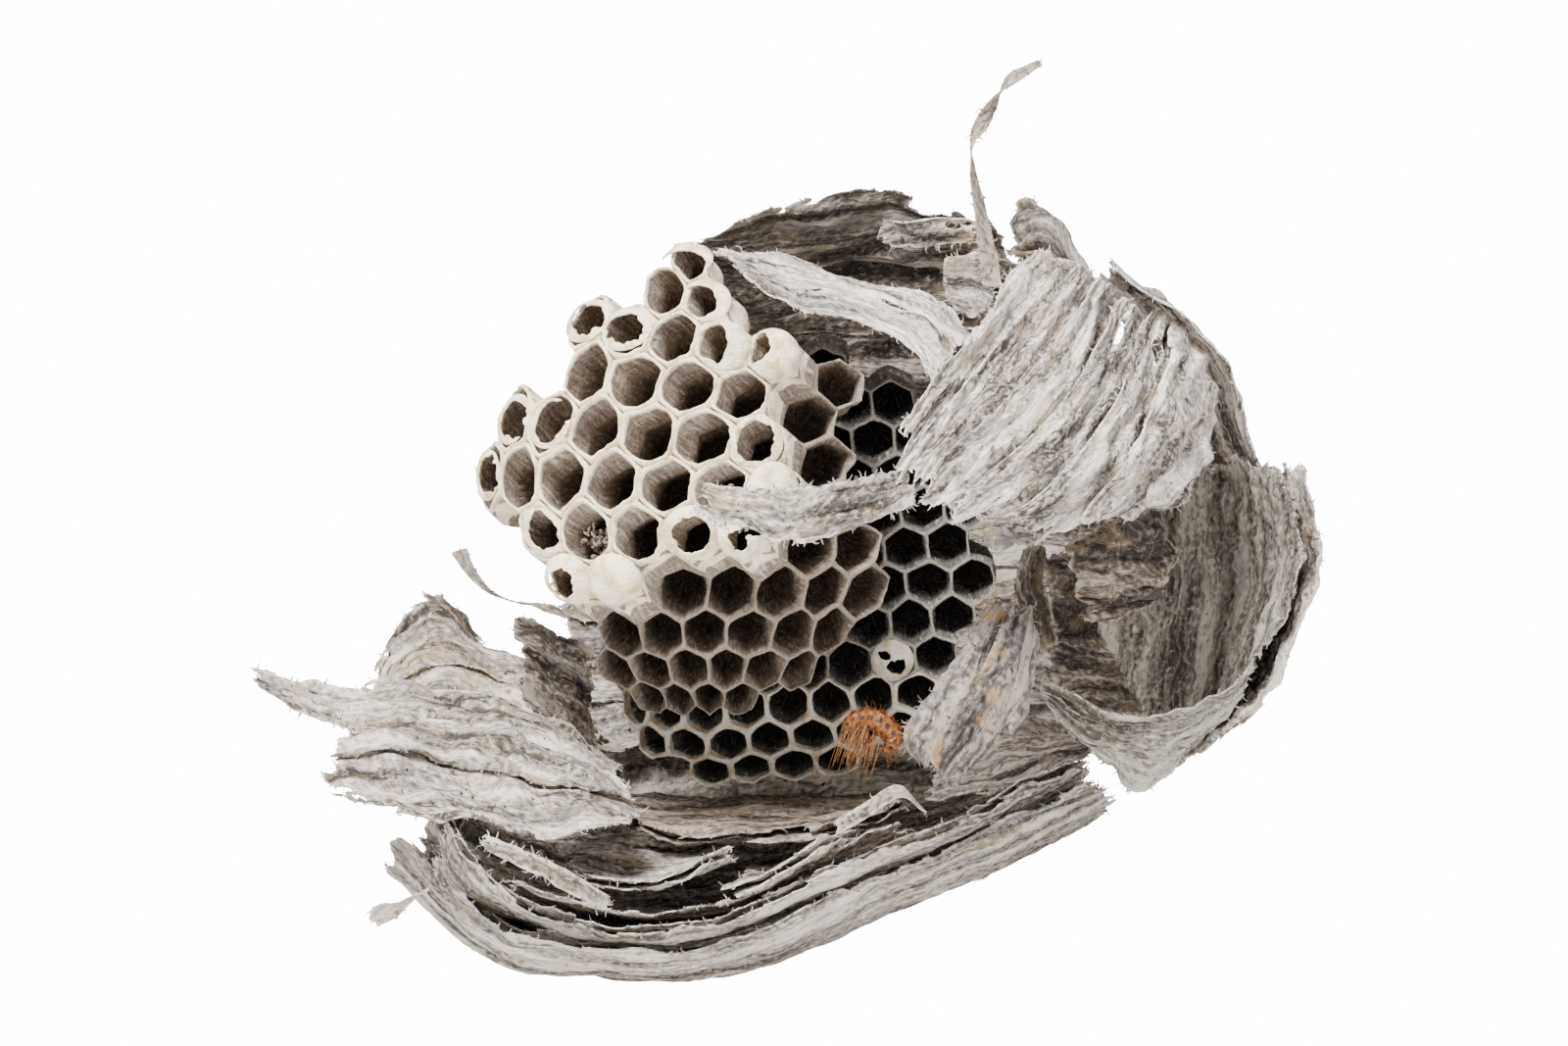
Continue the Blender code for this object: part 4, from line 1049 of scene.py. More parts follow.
@dataclass(frozen=True)
class Sheet:
    """One torn sheet of the envelope, as overlapping strips of wasp paper.

    Attributes:
        node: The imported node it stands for.
        paper: What it is made of.
        net: Rows of control points, each along the fibres.
        strips: Number of overlapping strips across the fibres.
        lift: How far the free edge of each strip stands off the next.
        outside: 1 or -1, the side that strips stand off to.
        spacing: Distance between ridges.
        ridge: Height of the ridges that run along the fibres.
        crumple: Height of the broad dents.
        wrinkle: Height of the fine wrinkles.
        torn: How deeply each edge is torn: the start and end of the fibres, the first row and the last.
        fingers: How much further back some strips end, at the start and end of the fibres.
        curl: How far each edge curls outwards, in the same order as torn.
        grow: How far each edge reaches beyond its net, in the same order as torn.
        corner: Radius of its corners.
        holes: Place along and across, as shares, and two radii for each hole.
        plies: How far outside the sheet each of its layers lies.
        step: Size of its mesh.
        turned: Whether the fibres run across the rows instead.
        hairs: Loose fibres for each millimetre of edge.
        margin: How far its mesh goes on past the net before it is torn, as a share.
    """

    node: str
    paper: Paper
    net: Any
    strips: int = 1
    lift: float = 0.9
    outside: float = 1.0
    spacing: float = 3.2
    ridge: float = 0.5
    crumple: float = 0.8
    wrinkle: float = 0.2
    torn: tuple[float, float, float, float] = (1.2, 1.2, 1.0, 1.0)
    fingers: tuple[float, float] = (0.0, 0.0)
    curl: tuple[float, float, float, float] = (0.0, 0.0, 0.0, 0.0)
    grow: tuple[float, float, float, float] = (0.3, 0.3, 0.3, 0.3)
    corner: float = 3.0
    holes: tuple[tuple[float, float, float, float], ...] = ()
    plies: tuple[float, ...] = (0.0,)
    step: float = 0.55
    turned: bool = False
    hairs: float = 0.5
    margin: float = 0.06

    OVERLAP = 0.35
    HALF_PAPER = 0.13
    RIM_HALF = 0.07
    CURL_REACH = 3.6
    LETTER_SEEDS, PLY_SEEDS = 7, 31
    HIDDEN_EDGE, FREE_EDGE = 0.3, 0.7
    PLY_SHORTER, PLY_LATER = (0.8, 3.0), (0.0, 2.5)
    FIRST_TEAR = 0.4
    THINNING = 0.7
    FIBRE_RADII = (0.075, 0.05, 0.02)

    def surface(self, along: Array, across: Array) -> Array:
        """Points of the plain sheet, with one row for each place across."""
        rows = np.stack([curve(np.array(row, float), along) for row in self.net])
        return curve(rows, across)

    def guide(self) -> Array:
        """A coarse grid of points on the plain sheet."""
        return self.surface(np.linspace(0, 1, 13), np.linspace(0, 1, 9))

    def spans(self) -> tuple[float, float]:
        """Mean length of the sheet along its rows and across them."""
        grid = self.surface(np.linspace(0, 1, 25), np.linspace(0, 1, 13))
        along = np.linalg.norm(np.diff(grid, axis=1), axis=2).sum(1).mean()
        across = np.linalg.norm(np.diff(grid, axis=0), axis=2).sum(0).mean()
        return along, across

    def shell(self) -> Shell:
        """The whole sheet, with every strip of every ply."""
        seed = sum(map(ord, self.node)) * self.LETTER_SEEDS
        strips = []
        for ply, offset in enumerate(self.plies):
            count = 1 if ply else self.strips
            for index in range(count):
                strips.append(self.strip(index, count, offset, ply, seed + self.PLY_SEEDS * ply + index))
        return fitted(joined(strips), self.guide(), self.node)

    def strip(self, index: int, count: int, offset: float, ply: int, seed: int) -> Shell:
        """One strip of paper with its torn edges.

        Args:
            index: Which strip it is, counted across the fibres.
            count: How many strips its ply has.
            offset: How far outside the sheet its ply lies.
            ply: Which ply it belongs to.
            seed: Picks its noise.

        Returns:
            The strip's closed shell and its loose fibres.
        """
        noise, draw = Noise(seed), np.random.default_rng(seed)
        length, width = self.spans()
        first, last = index == 0, index == count - 1
        low = index / count - (self.margin if first else self.OVERLAP / count)
        high = (index + 1) / count + (self.margin if last else 0.0)
        columns = max(6, int(length * (1 + 2 * self.margin) / self.step))
        rows = max(5, int(width * (high - low) / self.step))
        u = np.linspace(-self.margin, 1 + self.margin, columns)
        v = np.linspace(low, high, rows)
        base = self.surface(u, v)
        normals = unit(np.cross(np.gradient(base, axis=0), np.gradient(base, axis=1)))
        skipped = self.margin / (1 + 2 * self.margin)
        s = distance_along(base, skipped)
        t = np.broadcast_to((v * width)[:, None], s.shape)
        start, end = s, s[:, -1:] - s + s[:, :1]
        start_cut, end_cut = draw.uniform(0.0, 1.0, 2) * self.fingers
        near = (v[:, None] - (low if not first else 0.0)) * width + 0 * s
        far = ((1.0 if last else high) - v[:, None]) * width + 0 * s
        along, across = (t, s) if self.turned else (s, t)
        edges = [start - start_cut, end - end_cut, near, far]
        edges = [edge + grow for edge, grow in zip(edges, self.grow)]
        torn = list(self.torn)
        if ply:
            edges[2] = edges[2] - draw.uniform(*self.PLY_SHORTER)
            edges[0] = edges[0] - draw.uniform(*self.PLY_LATER)
        if not first:
            torn[2] = self.HIDDEN_EDGE
        if not last:
            torn[3] = self.FREE_EDGE
        field = self.tear_field(edges, torn, noise, along, across, u, v, length, width)
        height, crease = self.relief(noise, base, along, across)
        for edge, curl in zip(edges, self.curl):
            height = height + curl * np.exp(-np.maximum(edge, 0.0) / self.CURL_REACH)
        share = (v[:, None] - low) / (high - low)
        height = height + self.outside * (self.lift * share**1.4 * (count > 1) + offset)
        points = base + normals * height[..., None]
        normals = unit(np.cross(np.gradient(points, axis=0), np.gradient(points, axis=1)))
        shade = draw.uniform(-1, 1) + 0 * s
        shift = draw.uniform(0, 400, 2)
        marks = np.stack((np.clip(field, 0, 3), shade, crease, 0 * s, 0 * s), -1)
        fibres = np.stack((along, across), -1) + shift
        values = np.concatenate([points, normals, fibres, marks], -1).reshape(rows * columns, -1)
        values, faces = clipped(values, field.ravel(), grid_faces(rows, columns))
        points, normals, fibres, marks = np.split(values, (3, 6, 8), axis=1)
        thick = smooth_step(marks[:, RIM], 0.0, self.THINNING)
        half = self.RIM_HALF + (self.HALF_PAPER - self.RIM_HALF) * thick
        both, closed = thickened(points, unit(normals), faces, half)
        body = Shell(both, closed, np.tile(fibres, (2, 1))[closed], np.tile(marks, (2, 1)))
        return joined([body, *self.loose_fibres(points, normals, fibres, marks, faces, draw)])

    def tear_field(
        self, edges: list[Array], torn: list[float], noise: Noise, along: Array, across: Array,
        u: Array, v: Array, length: float, width: float,
    ) -> Array:
        """How far each point lies inside the torn outline, in millimetres.

        Args:
            edges: Distance from each of the four straight edges.
            torn: How deeply each edge is torn.
            noise: The strip's noise.
            along: Distance along the fibres.
            across: Distance across the fibres.
            u: Shares along the rows.
            v: Shares across the rows.
            length: The sheet's length along its rows.
            width: Its length across them.

        Returns:
            The distance, below zero outside.
        """
        bite = noise.flat(along, across, 9.0, 2.6) + 0.6 * noise.flat(along + 50, across, 3.0, 1.1)
        bite += 0.34 * noise.flat(along + 90, across, 1.0, 0.55)
        cuts = [edge - depth * (self.FIRST_TEAR + bite) for edge, depth in zip(edges, torn)]
        sides, ends = np.minimum(cuts[0], cuts[1]), np.minimum(cuts[2], cuts[3])
        corner = min(self.corner, 0.4 * width)
        rounded = corner - np.hypot(np.maximum(corner - sides, 0), np.maximum(corner - ends, 0))
        field = np.minimum(np.minimum(sides, ends), rounded)
        for place_u, place_v, radius_u, radius_v in self.holes:
            away_u, away_v = (u[None, :] - place_u) * length, (v[:, None] - place_v) * width
            hole = (np.hypot(away_u / radius_u, away_v / radius_v) - 1.0) * min(radius_u, radius_v)
            field = np.minimum(field, hole - 0.5 * bite)
        return field

    def relief(self, noise: Noise, base: Array, along: Array, across: Array) -> tuple[Array, Array]:
        """Height of the dents, ridges and wrinkles.

        Args:
            noise: The strip's noise.
            base: Points of the plain sheet.
            along: Distance along the fibres.
            across: Distance across the fibres.

        Returns:
            The height in millimetres, and how deep in a crease each point lies, from 0 to 1.
        """
        phase = across / self.spacing + 0.9 * noise.flat(along, across, 22.0, 11.0)
        phase += 0.35 * noise.flat(along + 30, across, 7.0, 4.0)
        tooth = phase - np.floor(phase)
        hump = (4.0 * tooth * (1.0 - tooth)) ** 0.65
        strength = np.clip(0.65 + 0.9 * noise.flat(along + 60, across, 12.0, 6.0), 0.0, 1.3)
        height = self.ridge * (hump - 0.7) * strength
        height += self.crumple * (DENTS.at(base / 9.0) + 0.45 * DENTS.at(base / 3.4))
        fold = np.abs(noise.flat(along + 20, across, 8.0, 2.0))
        valley = 1.0 - smooth_step(fold, 0.0, 0.22)
        height -= 1.3 * self.wrinkle * valley
        height += self.wrinkle * noise.flat(along, across + 40, 4.5, 0.9)
        height += 0.5 * self.wrinkle * noise.flat(along, across + 80, 1.3, 0.45)
        groove = (0.55 - hump) * 1.8 * strength * min(1.0, self.ridge / 0.4)
        return height, np.clip(groove + 0.5 * valley - 0.1, 0.0, 1.0)

    def loose_fibres(
        self, points: Array, normals: Array, fibres: Array, marks: Array, faces: Array,
        draw: np.random.Generator,
    ) -> list[Shell]:
        """Thin fibres and shreds that stick out of the torn edges.

        Args:
            points: Points of the middle of the sheet.
            normals: Its normals.
            fibres: Its fibre coordinates.
            marks: Its marks.
            faces: Its triangles.
            draw: The strip's own random numbers.

        Returns:
            One shell for each fibre.
        """
        edge = outline_edges(faces)
        a, b = points[edge[:, 0]], points[edge[:, 1]]
        count = int(np.linalg.norm(b - a, axis=1).sum() * self.hairs)
        picked = draw.integers(0, len(edge), count)
        made = []
        for k in picked:
            tip_of = edge[k, 0]
            outward = unit(np.cross(b[k] - a[k], normals[tip_of]))
            way = unit(outward + draw.normal(0, 0.55, 3))
            length = draw.uniform(0.3, 1.1)
            bend = unit(way + draw.normal(0, 0.6, 3))
            middle, end = a[k] + way * length * 0.5, a[k] + (way + bend) * length * 0.5
            path = np.stack([a[k] - way * 0.2, middle, end])
            radii = np.array(self.FIBRE_RADII) * draw.uniform(0.6, 1.5)
            mark = marks[tip_of].copy()
            mark[RIM] = draw.uniform(0.0, 0.8)
            hair = strand(path, radii, 3, mark, 1.6)
            made.append(Shell(hair.points, hair.faces, hair.fibres + fibres[tip_of], hair.marks))
        return made


def distance_along(base: Array, skipped: float) -> Array:
    """Distance along the rows of a grid of points.

    Args:
        base: The grid.
        skipped: Share of the whole length that lies before zero.

    Returns:
        One distance for each point.
    """
    steps = np.linalg.norm(np.diff(base, axis=1), axis=-1)
    total = np.concatenate([np.zeros((len(base), 1)), np.cumsum(steps, axis=1)], axis=1)
    return total - total[:, -1:] * skipped


def ribbon_net(stations: Sequence[Sequence[float]]) -> Array:
    """Three rows of control points for a narrow ribbon.

    Args:
        stations: Across, up, out, width and twist in degrees at points along the ribbon.

    Returns:
        The net.
    """
    table = np.array(stations, float)
    path = table[:, :3]
    ahead = unit(np.gradient(path, axis=0))
    rows = []
    for side in (-0.5, 0.0, 0.5):
        row = []
        for place, direction, width, twist in zip(path, ahead, table[:, 3], table[:, 4]):
            level = Vector((0.0, 0.0, 1.0)).cross(Vector(direction)).normalized()
            edge = Matrix.Rotation(math.radians(twist), 3, Vector(direction)) @ level
            row.append(place + np.array(edge) * width * side)
        rows.append(row)
    return np.array(rows)


# The ellipsoid of the envelope's back, and how finely its sheets follow it.
BACK_CENTRE, BACK_RADII = (8.0, -4.0, -8.0), (52.0, 50.0, 40.0)
BACK_COLUMNS, BACK_ROWS = 8, 5


def back_net(
    offset: float, sideways: Sequence[float], upward: Sequence[float], crown: float
) -> Array:
    """Control points round the ellipsoid of the envelope's back.

    Args:
        offset: How far outside the ellipsoid the sheet lies.
        sideways: How far it reaches from left to right, in degrees.
        upward: How far it reaches from bottom to top, in degrees.
        crown: How much higher the middle of its top edge is.

    Returns:
        The net.
    """
    share = np.arange(BACK_COLUMNS + 1) / BACK_COLUMNS
    lift = np.arange(BACK_ROWS + 1)[:, None] / BACK_ROWS
    top = upward[1] + crown * np.sin(math.pi * share)
    rise = np.radians(upward[0] + (top - upward[0]) * lift)
    turn = np.radians(sideways[0] + (sideways[1] - sideways[0]) * share) + 0 * lift
    way = np.stack((np.sin(turn) * np.cos(rise), np.sin(rise), -np.cos(turn) * np.cos(rise)), -1)
    return np.array(BACK_CENTRE) + way * (np.array(BACK_RADII) + offset)


# ---------------------------------------------------------------- combs

# The corners of a cell, in columns and rows from its middle, and how many points lie along each of its sides.
CORNERS = np.array(((0, -2 / 3), (0.5, -1 / 3), (0.5, 1 / 3), (0, 2 / 3), (-0.5, 1 / 3), (-0.5, -1 / 3)))
SIDE_STEPS = 5
# Height of a row of regular cells, for a width of one.
ROW_RATIO = math.sqrt(0.75)
# Two kinds of cell: bare, and bare with a silk edge. Cells of every other kind are silk-rimmed.
BARE_KIND, EDGED_KIND = "b", "e"
# How much further on along its noise each cell and each of its sides is, so that no two look the same.
CELL_SHIFT, SIDE_SHIFT = 23.0, 5.0
Place = Callable[[Any, Any, Any], Array]


def hexagon() -> Array:
    """Points round one cell, in columns and rows from its middle."""
    share = np.arange(SIDE_STEPS)[:, None] / SIDE_STEPS
    sides = [a + (b - a) * share for a, b in zip(CORNERS, np.roll(CORNERS, -1, axis=0))]
    return np.concatenate(sides)


@dataclass(frozen=True)
class Wall:
    """How the wall of one kind of cell looks.

    Attributes:
        half: Half the thickness of the wall at the rim, in millimetres.
        profile: The rim's cross section: share of half from the middle of the wall, and depth in millimetres.
        valley: How deep the rims of neighbours are parted, in millimetres.
        round_rim: How round the mouth is, from 0 to 1.
        thin: The wall's inner width below the rim, as a share.
        chip: How uneven the rim is, in millimetres.
        silk: How far down silk lines it, in millimetres.
    """

    half: float
    profile: tuple[tuple[float, float], ...]
    valley: float
    round_rim: float
    thin: float
    chip: float
    silk: float


SILKEN = Wall(0.36, ((0.3, 0.1), (0.55, 0.0), (0.82, 0.06), (1.0, 0.26)), 0.4, 0.62, 0.95, 0.55, 0.7)
BARE = Wall(0.17, ((0.5, 0.03), (0.87, 0.1), (1.0, 0.2)), 0.0, 0.3, 0.955, 0.34, 0.0)
EDGED = Wall(0.3, ((0.5, 0.03), (0.87, 0.1), (1.0, 0.25)), 0.0, 0.5, 0.95, 0.34, 2.6)


@dataclass(frozen=True)
class Comb:
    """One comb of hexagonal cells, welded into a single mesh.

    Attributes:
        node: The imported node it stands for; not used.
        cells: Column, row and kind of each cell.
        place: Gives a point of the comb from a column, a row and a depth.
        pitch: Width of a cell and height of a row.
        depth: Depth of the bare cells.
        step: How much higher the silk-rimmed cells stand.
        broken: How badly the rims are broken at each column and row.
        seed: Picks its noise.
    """

    node: str
    cells: Sequence[tuple[float, float, str]]
    place: Place
    pitch: tuple[float, float]
    depth: float
    step: float
    broken: Callable[[Array], Array]
    seed: int

    BELOW = (0.25, 0.8, 1.5, 2.4, 3.5, 4.8, 6.4, 8.2)
    BACK_WALL = 1.0
    BOTTOM_RINGS = ((0.84, 0.9, 0.4), (0.62, 0.25, 0.7), (0.3, 0.0, 1.0))
    BACK_RINGS = ((1.0, 0.0), (0.75, 0.35), (0.4, 0.65))
    BACK_TIP = 0.7
    DRIFTS = ((4.6, 0.42), (2.3, 0.16), (0.8, 0.08))
    OUTER_STEPS = 9
    LOW_ROW, RIGHT_COLUMN = 6, 3.5
    LONG_SILK, SHORT_SILK = 3.4, 1.1

    def wall(self, kind: str) -> Wall:
        """The wall of a kind of cell."""
        return {BARE_KIND: BARE, EDGED_KIND: EDGED}.get(kind, SILKEN)

    def level(self, kind: str) -> float:
        """How deep the mouth of a kind of cell lies."""
        return self.step if kind in (BARE_KIND, EDGED_KIND) else 0.0

    def shaken(self, points: Array, noise: Noise) -> Array:
        """Points moved a little, by an amount that depends only on where they are."""
        drift = [
            sum(size * noise.at(points / long + k * 17.0) for long, size in self.DRIFTS) for k in range(3)
        ]
        return points + np.stack(drift, -1)

    def chips(self, lattice: Array, amount: float, noise: Noise) -> Array:
        """How much deeper than its level the rim lies at places of the lattice."""
        flat = np.concatenate([lattice * self.pitch, np.full((len(lattice), 1), 0.4)], 1)
        rough = 0.6 * noise.at(flat / 2.4) + 0.5 * noise.at(flat / 0.8)
        torn = self.broken(lattice) * np.maximum(0.0, noise.at(flat / 3.1 + 9.0) + 0.25)
        return amount * rough + torn

    def parting(self, outline: Array, wall: Wall) -> Array:
        """How much deeper the line between two cells lies than their rims: most at the corners."""
        reach = np.linalg.norm(outline * self.pitch, axis=1) / (self.pitch[0] / 2)
        return wall.valley * (1.0 + 2.2 * smooth_step(reach, 1.0, 1.16))

    def shell(self) -> Shell:
        """The whole comb."""
        noise = Noise(self.seed)
        owners: dict[frozenset, list[tuple[int, int]]] = {}
        for number, (column, row, _) in enumerate(self.cells):
            for side in range(6):
                ends = [(column, row) + CORNERS[(side + k) % 6] for k in (0, 1)]
                key = frozenset(tuple(np.round(end * 60).astype(int)) for end in ends)
                owners.setdefault(key, []).append((number, side))
        parts = [self.cell(number, noise) for number in range(len(self.cells))]
        for sides in owners.values():
            levels = [self.level(self.cells[number][2]) for number, _ in sides]
            if len(sides) == 1:
                parts.append(self.outer_wall(*sides[0], None, noise))
            elif levels[0] != levels[1]:
                high, low = (0, 1) if levels[0] < levels[1] else (1, 0)
                parts.append(self.outer_wall(*sides[high], self.cells[sides[low][0]][2], noise))
        return welded(joined(parts))

    def cell(self, number: int, noise: Noise) -> Shell:
        """The inside, the rim and the back of one cell.

        Args:
            number: Which cell it is.
            noise: The comb's noise.

        Returns:
            Its shell, open along its six sides.
        """
        column, row, kind = self.cells[number]
        wall, level = self.wall(kind), self.level(kind)
        outline = hexagon()
        metric = outline * self.pitch
        turn = np.arctan2(metric[:, 1], metric[:, 0])
        inner = self.pitch[0] / 2
        circle = np.stack((np.cos(turn), np.sin(turn)), -1) * inner / np.array(self.pitch)
        chip = self.chips(outline + (column, row), wall.chip, noise)
        bottom = self.step + self.depth - self.BACK_WALL
        half = wall.half * (1.0 + 0.3 * noise.at(np.stack((turn, turn * 0 + number, turn * 0), -1)))
        rings = [(np.ones(len(turn)), level + chip + self.parting(outline, wall), 0.0)]
        for part, drop in wall.profile:
            rings.append((1.0 - half / inner * part, level + chip + drop, wall.round_rim * part))
        for below in self.BELOW:
            if level + below > bottom - 1.2:
                break
            fade = math.exp(-below / 1.2)
            share = wall.thin * (1 - fade) + (1.0 - half / inner) * fade - 0.004 * below
            depth = level + chip * fade + wall.profile[-1][1] + below
            rings.append((share, depth, 0.22 + (wall.round_rim - 0.22) * fade))
        for share, above, roundness in self.BOTTOM_RINGS:
            rings.append((np.full(len(turn), share), bottom - above + 0 * chip, roundness))
        grid, marks = [], []
        for share, depth, roundness in rings:
            offset = (outline * (1 - roundness) + circle * roundness) * np.reshape(share, (-1, 1))
            grid.append(self.shaken(self.place(column + offset[:, 0], row + offset[:, 1], depth), noise))
            from_rim = depth - level - chip
            silk = np.clip(1.3 - from_rim / wall.silk, 0, 1) if wall.silk else 0 * depth
            # Painted shade: the crease mark of the top ring darkens the grooves where neighbouring rims part,
            # most at the corners.
            dirt = 0.75 * smooth_step(self.parting(outline, wall), 0.5, 1.2) * (not marks)
            marks.append(np.stack((from_rim, 0 * depth, dirt, silk, depth - level), -1))
        centre = self.shaken(self.place(np.array([column]), np.array([row]), np.array([bottom])), noise)
        around = turn * inner + number * CELL_SHIFT
        inside = ring_shell(np.array(grid), centre, np.array(marks), around, True)
        back_rings = []
        for share, depth in self.BACK_RINGS:
            offset = outline * share
            deep = np.full(len(turn), self.step + self.depth + depth)
            ring = self.place(column + offset[:, 0], row + offset[:, 1], deep)
            back_rings.append(self.shaken(ring, noise))
        deep = np.array([self.step + self.depth + self.BACK_TIP])
        tip = self.shaken(self.place(np.array([column]), np.array([row]), deep), noise)
        plain = np.tile((2.0, 0.0, 0.0, 0.0, 1.0), (len(back_rings), len(turn), 1))
        back = ring_shell(np.array(back_rings), tip, plain, around, False)
        return joined([inside, back])

    def outer_wall(self, number: int, side: int, below: str | None, noise: Noise) -> Shell:
        """The wall on the outside of one side of a cell.

        Args:
            number: Which cell it belongs to.
            side: Which of its six sides.
            below: The kind of the lower cell it comes down to, or None where it reaches the comb's back.
            noise: The comb's noise.

        Returns:
            Its shell.
        """
        column, row, kind = self.cells[number]
        wall, level = self.wall(kind), self.level(kind)
        share = np.arange(SIDE_STEPS + 1)[:, None] / SIDE_STEPS
        a, b = CORNERS[side], CORNERS[(side + 1) % 6]
        lattice = a + (b - a) * share + (column, row)
        top = level + self.chips(lattice, wall.chip, noise) + self.parting(lattice - (column, row), wall)
        if below is None:
            bottom = np.full(len(top), self.step + self.depth)
        else:
            bottom = self.level(below) + self.chips(lattice, self.wall(below).chip, noise)
        grid, marks = [], []
        swell = 0.055 * np.sin(math.pi * share)
        short = row >= self.LOW_ROW or column > self.RIGHT_COLUMN
        reach = self.SHORT_SILK if short else self.LONG_SILK
        for k in range(self.OUTER_STEPS + 1):
            part = (k / self.OUTER_STEPS) ** 1.5
            depth = top + (bottom - top) * part
            bulge = 1.0 + swell * min(1.0, 6.0 * part, 3.0 * (1 - part))
            spot = (lattice - (column, row)) * bulge + (column, row)
            grid.append(self.shaken(self.place(spot[:, 0], spot[:, 1], depth), noise))
            silk = np.clip(1.45 - (depth - top) / reach, 0, 1) if wall.silk else 0 * depth
            # The deep mark grows four times as fast as the depth here, so the painted shade darkens the outer
            # wall soon below its top.
            marks.append(np.stack((depth - top, 0 * depth, 0 * depth, silk, 4.0 * (depth - top)), -1))
        points, marks = np.array(grid), np.array(marks)
        faces = grid_faces(self.OUTER_STEPS + 1, SIDE_STEPS + 1)[:, ::-1]
        around = share[:, 0] * self.pitch[0] * 0.58 + number * CELL_SHIFT + side * SIDE_SHIFT
        fibres = np.stack((np.broadcast_to(around, marks.shape[:2]), marks[..., RIM]), -1).reshape(-1, 2)
        return Shell(points.reshape(-1, 3), faces, fibres[faces], marks.reshape(-1, len(MARKS)))


def ring_shell(grid: Array, tip: Array, marks: Array, around: Array, forward: bool) -> Shell:
    """Rings of points that close at a tip.

    Args:
        grid: The rings.
        tip: The point that the last ring closes on.
        marks: Marks for each point of the rings.
        around: Distance round the ring of each of its points.
        forward: Whether its faces look towards the first ring.

    Returns:
        The shell.
    """
    rings, count = grid.shape[:2]
    faces = grid_faces(rings, count, True)
    start, step = (rings - 1) * count, np.arange(count)
    fan = np.stack((start + step, np.full(count, rings * count), start + (step + 1) % count), -1)
    faces = np.concatenate([faces, fan])
    depth = marks[..., DEEP]
    fibres = np.stack((np.broadcast_to(around, depth.shape), depth), -1).reshape(-1, 2)
    fibres = np.concatenate([fibres, fibres[-1:]])
    corner = fibres[faces]
    wrap = around.max() - around.min() + (around[1] - around[0])
    jump = corner[..., 0] - corner[:, :1, 0]
    corner[..., 0] -= np.round(jump / wrap) * wrap
    if not forward:
        faces, corner = faces[:, ::-1], corner[:, ::-1]
    points = np.concatenate([grid.reshape(-1, 3), tip])
    flat = marks.reshape(-1, len(MARKS))
    return Shell(points, faces, corner, np.concatenate([flat, flat[-1:]]))


PLACES_PER_MM = 500.0


def welded(shell: Shell) -> Shell:
    """The same shell with points that lie in one place made into one."""
    keys = np.round(shell.points * PLACES_PER_MM).astype(np.int64)
    _, first, place = np.unique(keys, axis=0, return_index=True, return_inverse=True)
    faces = place.reshape(-1)[shell.faces]
    good = (faces != np.roll(faces, 1, axis=1)).all(1)
    return Shell(shell.points[first], faces[good], shell.fibres[good], shell.marks[first])


# The front comb: the middle of its lattice and where that lies, its cells' width and rows' height, and the
# radii that it bulges with.
FRONT_MIDDLE = (2.5, 4.5)
FRONT_CENTRE = np.array((-11.4, 5.3, 26.0))
FRONT_PITCH = (6.2, 5.5)
FRONT_LEFT_RADIUS, FRONT_RIGHT_RADIUS, FRONT_UP_RADIUS = 24.0, 38.0, 31.5
# How its upper corners hang over, and how its upper and lower rows drift to the right.
OVERHANG_ROW, OVERHANG_RATE = 1.5, 0.009
UPPER_DRIFT_ROW, UPPER_DRIFT, UPPER_DRIFT_LIMIT = 0.5, 1.25, 3.6
LOWER_DRIFT_ROW, LOWER_DRIFT = 3.5, 0.5
# How far its cells follow its bulge rather than lying straight, and how much shallower those at its edge are.
NORMAL_SHARE, STRAIGHT_SHARE = 0.4, 0.6
EDGE_DEPTH_LOSS, EDGE_DISTANCE_SQUARED = 0.4, 30.0
# How much higher the silk-rimmed cells stand, and the way they lean for each millimetre of that.
SILK_STEP = 4.0
SILK_LEAN = np.array((-0.5, 0.45, 0.9))
FRONT_DEPTH = 14.0
# For each row, its first column and the kinds of its cells: s silk-rimmed, c capped with silk, t under a torn
# cap, b bare.
FRONT_ROWS = (
    (2.0, "s"),
    (1.5, "ss"),
    (0.0, "sssscb"),
    (0.5, "ssssb"),
    (-1.0, "ssssssb"),
    (-1.5, "sssssscb"),
    (0.0, "sssstbb"),
    (0.5, "tcbbbbb"),
    (1.0, "bbbbbb"),
    (0.5, "bbbbbb"),
    (1.0, "bbbb"),
)


def front_place(column: Any, row: Any, depth: Any) -> Array:
    """Points of the bulging front comb.

    Args:
        column: Place in the lattice, to the right.
        row: Place in the lattice, downwards.
        depth: Depth below the silk-rimmed mouths, in millimetres.

    Returns:
        Points in the nest's frame.
    """
    c, t, depth = np.broadcast_arrays(column - FRONT_MIDDLE[0], row - FRONT_MIDDLE[1], depth)
    radius = np.where(c < 0, FRONT_LEFT_RADIUS, FRONT_RIGHT_RADIUS)
    side = c * FRONT_PITCH[0] / radius
    fall = t * FRONT_PITCH[1] / FRONT_UP_RADIUS + OVERHANG_RATE * c * np.maximum(0.0, OVERHANG_ROW - t)
    outward = np.stack((np.sin(side) * np.cos(fall), -np.sin(fall), np.cos(side) * np.cos(fall)), -1)
    drift = UPPER_DRIFT * np.clip(UPPER_DRIFT_ROW - t, 0.0, UPPER_DRIFT_LIMIT)
    drift = drift + LOWER_DRIFT * np.maximum(0.0, t - LOWER_DRIFT_ROW)
    swell = radius * outward[..., 2] + (FRONT_UP_RADIUS - radius) * np.cos(fall) - FRONT_UP_RADIUS
    spread = (radius * outward[..., 0] + drift, FRONT_UP_RADIUS * outward[..., 1], swell)
    base = FRONT_CENTRE + np.stack(spread, -1)
    tube = base + SILK_LEAN * (SILK_STEP - depth)[..., None]
    axis = unit(NORMAL_SHARE * outward + (0.0, 0.0, STRAIGHT_SHARE))
    shallower = 1.0 - EDGE_DEPTH_LOSS * np.minimum(1.0, (c * c + t * t) / EDGE_DISTANCE_SQUARED)
    cell = base - axis * ((depth - SILK_STEP) * shallower)[..., None]
    return np.where((depth <= SILK_STEP)[..., None], tube, cell)


